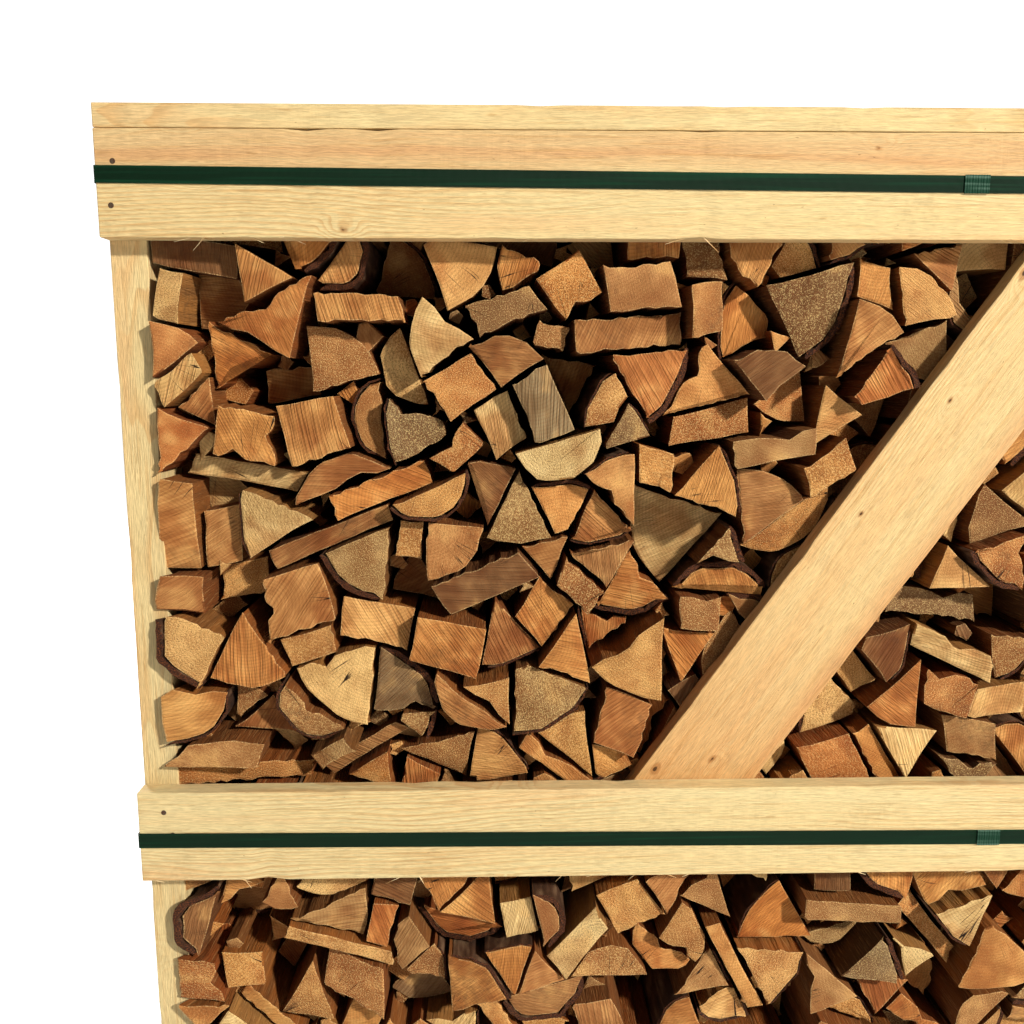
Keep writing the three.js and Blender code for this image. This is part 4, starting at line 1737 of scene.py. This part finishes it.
@dataclass
class Nails:
    """Nail heads, driven just under the surface."""

    radius: float = 3.3 * MM
    stands_out: float = 0.25 * MM

    def build(self, material: bpy.types.Material) -> None:
        """Makes all the heads as one piece.

        Args:
            material: The nails' finish.
        """
        bm = bmesh.new()
        for place, facing in self._places():
            turn = facing.to_track_quat("Z", "Y").to_matrix().to_4x4()
            made = bmesh.ops.create_cone(bm, cap_ends=True, segments=10, radius1=self.radius,
                                         radius2=self.radius * 0.8, depth=1.2 * MM)
            bmesh.ops.transform(bm, verts=made["verts"], matrix=Matrix.Translation(
                place + facing * (self.stands_out - 0.6 * MM)) @ turn)
        finish_piece("nail_heads", bm, material, "sawn_pine")

    @staticmethod
    def _places() -> list[tuple[Vector, Vector]]:
        """Where the nails are, and which way each head faces."""
        spots = []
        for end, facing in (("front", Vector((0, -1, 0))), ("back", Vector((0, 1, 0)))):
            for level, insets in (("bottom", (22, 30)), ("middle", (27, 35)), ("top", (17, 13))):
                low, high = (Vector(c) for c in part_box(f"rail_{end}_{level}"))
                y = low.y if end == "front" else high.y
                drops = (30, 70) if level == "top" else (22, 47)
                for side in (-1, 1):
                    for inset, drop in zip(insets, drops):
                        x = side * (high.x - inset * MM)
                        spots.append((Vector((x, y, high.z - drop * MM)), facing))
        for side, facing in (("left", Vector((-1, 0, 0))), ("right", Vector((1, 0, 0)))):
            for level in ("bottom", "middle", "top"):
                low, high = (Vector(c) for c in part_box(f"rail_{side}_{level}"))
                x = low.x if side == "left" else high.x
                for number in range(1, 5):
                    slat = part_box(f"slat_{side}_{number}")
                    middle = (slat[0][1] + slat[1][1]) / 2
                    for offset, drop in ((-28, 24), (26, 78)):
                        place = Vector((x, middle + offset * MM, high.z - drop * MM))
                        spots.append((place, facing))
        for number in range(1, 5):
            low, high = (Vector(c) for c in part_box(f"top_board_{number}"))
            for side in (-1, 1):
                for part, inset in ((0.27, 15), (0.74, 28)):
                    y = low.y + (high.y - low.y) * part
                    place = Vector((side * (high.x - inset * MM), y, high.z))
                    spots.append((place, Vector((0, 0, 1))))
        return spots


def needle(bm: bmesh.types.BMesh, place: Vector, way: Vector, length: float, thick: float) -> None:
    """Adds one three-sided sliver of wood.

    Args:
        bm: Where it is added.
        place: Its root.
        way: Its direction, of length 1.
        length: Its length.
        thick: Its thickness at the root.
    """
    turn = way.to_track_quat("Z", "Y").to_matrix().to_4x4()
    made = bmesh.ops.create_cone(bm, cap_ends=True, segments=3, radius1=thick / 2,
                                 radius2=thick / 8, depth=length)
    bmesh.ops.transform(bm, verts=made["verts"], matrix=Matrix.Translation(
        place + way * (length / 2 - 1.0 * MM)) @ turn)


@dataclass
class Splinters:
    """Slivers that the saw left hanging along the rails' lower edges."""

    per_metre: float = 22.0

    def build(self, material: bpy.types.Material) -> None:
        """Makes all the slivers as one piece.

        Args:
            material: Their finish.
        """
        chance = np.random.default_rng(77)
        bm = bmesh.new()
        for node in ("rail_front_top", "rail_front_middle", "rail_back_top", "rail_back_middle"):
            low, high = (Vector(c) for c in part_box(node))
            y = low.y if "front" in node else high.y
            inward = 1 if "front" in node else -1
            for _ in range(round(self.per_metre * (high.x - low.x))):
                place = Vector((chance.uniform(low.x + 5 * MM, high.x - 25 * MM),
                                y + inward * chance.uniform(0, 4 * MM), low.z + 1.2 * MM))
                down = chance.uniform(*((0.05, 0.5) if chance.random() < 0.8 else (0.8, 2.0)))
                way = Vector((chance.choice((-1, 1)), inward * chance.uniform(0, 0.2), -down))
                way.normalize()
                if not low.x < (place + way * 20 * MM).x < high.x:
                    way.x *= -1
                needle(bm, place, way, chance.uniform(6, 22) * MM, chance.uniform(0.7, 1.8) * MM)
        finish_piece("rail_splinters", bm, material, "sawn_pine")


@dataclass(frozen=True)
class FrayedFibre:
    """Pale torn fibres."""

    name: str = "frayed_fibre"

    def make(self) -> bpy.types.Material:
        """Builds the material and returns it."""
        material, r, shader = new_material(self.name)
        place = r.add("TexCoord").outputs["Object"]
        tone = r.between(r.grain(place, 60.0, 2), 0.35, 0.65)
        r.feed(shader.inputs["Base Color"], r.mix(tone, "c99a5e", "f2dcab"))
        shader.inputs["Roughness"].default_value = 0.8
        return material


@dataclass
class Weld:
    """The crimped stretch where a strap's ends are welded over each other."""

    node: str
    ridges: int = 9
    height: float = 0.45 * MM

    def build(self, material: bpy.types.Material) -> None:
        """Makes the ridged patch in the place of its CAD node.

        Args:
            material: The strap's finish.
        """
        low, high = (Vector(c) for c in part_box(self.node))
        bm = bmesh.new()
        bmesh.ops.create_cube(bm, size=1.0)
        bmesh.ops.scale(bm, vec=high - low, verts=bm.verts)
        bmesh.ops.translate(bm, vec=(low + high) / 2, verts=bm.verts)
        long_edges = [e for e in bm.edges if abs(e.verts[0].co.x - e.verts[1].co.x) > 1 * MM]
        bmesh.ops.subdivide_edges(bm, edges=long_edges, cuts=2 * self.ridges - 1)
        step = (high.x - low.x) / (2 * self.ridges)
        for vert in bm.verts:
            row = round((vert.co.x - low.x) / step)
            if row % 2 and vert.co.y < (low.y + high.y) / 2:
                vert.co.y += self.height
        finish_piece(f"{self.node}_crimp", bm, material, "strap", self.node)


def dress_straps(material: bpy.types.Material, weld: bpy.types.Material) -> None:
    """Gives the CAD straps the strap's finish, and crimps their welded joints.

    Args:
        material: The strap's finish.
        weld: The finish where the strap was crimped and turned pale.
    """
    for name, node in frame["nodes"].items():
        if name.startswith("strap_joint"):
            Weld(name).build(weld)
        elif name.startswith("strap"):
            node.data.materials.clear()
            node.data.materials.append(material)
    log.info("straps dressed")


# ---- Studio ------------------------------------------------------------------------------------


@dataclass
class Studio:
    """A pale floor, soft light from the upper right and the camera."""

    key_place: tuple = (4.4, -4.8, 4.15)
    key_size: float = 0.45
    key_power: float = 655.0
    fill: float = 0.14
    back_place: tuple = (-4.2, 4.6, 3.6)
    back_power: float = 420.0
    camera_place: tuple = (-0.188, -1.451, 1.280)
    camera_pitch: float = 8.69
    camera_yaw: float = 1.25
    lens: float = 31.64

    def build(self) -> None:
        """Builds the floor, the lights, the world and the camera."""
        scene = bpy.context.scene
        scene.view_settings.view_transform = "Standard"
        scene.view_settings.look = "None"
        self._floor()
        self._world(scene)
        self._lamp("key", self.key_place, self.key_size, self.key_power, (1.0, 0.965, 0.90))
        self._lamp("back", self.back_place, 1.5, self.back_power, (1.0, 0.98, 0.95))
        self._camera(scene)

    @staticmethod
    def _floor() -> None:
        """A wide pale floor."""
        bm = bmesh.new()
        bmesh.ops.create_grid(bm, x_segments=1, y_segments=1, size=40.0)
        mesh = bpy.data.meshes.new("floor")
        bm.to_mesh(mesh)
        bm.free()
        material, recipe, shader = new_material("floor")
        shader.inputs["Base Color"].default_value = (0.86, 0.86, 0.86, 1)
        shader.inputs["Roughness"].default_value = 1.0
        shader.inputs["Specular IOR Level"].default_value = 0.0
        shader.inputs["Emission Color"].default_value = (1, 1, 1, 1)
        seen = recipe.add("LightPath").outputs["Is Camera Ray"]
        recipe.feed(shader.inputs["Emission Strength"], recipe.times(seen, 0.92))
        mesh.materials.append(material)
        floor = bpy.data.objects.new("floor", mesh)
        bpy.context.scene.collection.objects.link(floor)
        floor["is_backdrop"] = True

    def _world(self, scene: bpy.types.Scene) -> None:
        """A white surround that lights softly and looks plain white itself."""
        world = bpy.data.worlds.new("surround")
        world.use_nodes = True
        scene.world = world
        recipe = Recipe(world.node_tree)
        background = world.node_tree.nodes["Background"]
        background.inputs["Color"].default_value = (1, 1, 1, 1)
        seen = recipe.add("LightPath").outputs["Is Camera Ray"]
        strength = recipe.between(seen, 0, 1, self.fill, 1.3)
        recipe.feed(background.inputs["Strength"], strength)

    def _lamp(self, name: str, place: tuple, size: float, power: float, colour: tuple) -> None:
        """Adds a round soft light that is aimed at the crate.

        Args:
            name: The light's name.
            place: Where it stands.
            size: Its width.
            power: Its power in watts.
            colour: Its colour.
        """
        light = bpy.data.lights.new(name, "AREA")
        light.shape = "DISK"
        light.size, light.energy, light.color = size, power, colour
        lamp = bpy.data.objects.new(name, light)
        lamp.location = place
        aim = Vector((-0.1, math.copysign(0.5, place[1]), 0.95)) - lamp.location
        lamp.rotation_euler = aim.to_track_quat("-Z", "Y").to_euler()
        bpy.context.scene.collection.objects.link(lamp)

    def _camera(self, scene: bpy.types.Scene) -> None:
        """The camera, close in front of the crate's upper left."""
        lens = bpy.data.cameras.new("camera")
        lens.sensor_width = 36.0
        lens.lens = self.lens
        camera = bpy.data.objects.new("camera", lens)
        camera.location = self.camera_place
        camera.rotation_euler = (math.radians(90 - self.camera_pitch), 0,
                                 math.radians(-self.camera_yaw))
        scene.collection.objects.link(camera)
        scene.camera = camera


def main() -> None:
    """Builds the crate, piece by piece, and the studio round it."""
    logging.basicConfig(level=logging.INFO, format="%(name)s: %(message)s")
    effects = Effects()
    pine = SawnPine().make(effects)
    base = SawnPine(name="pallet_timber", pale="e6cb93", late="c49a5e", grime=0.6).make(effects)
    Timber(pine, base).build()
    Firewood(SplitWood().make(effects)).build()
    Nails().build(NailSteel().make())
    Splinters().build(FrayedFibre().make())
    dress_straps(StrapPlastic().make(), StrapPlastic("strap_weld", "173c2b", "5e7d6c").make())
    Studio().build()
    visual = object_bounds()
    log.info("visual box %s", visual)


if __name__ == "__main__":
    main()
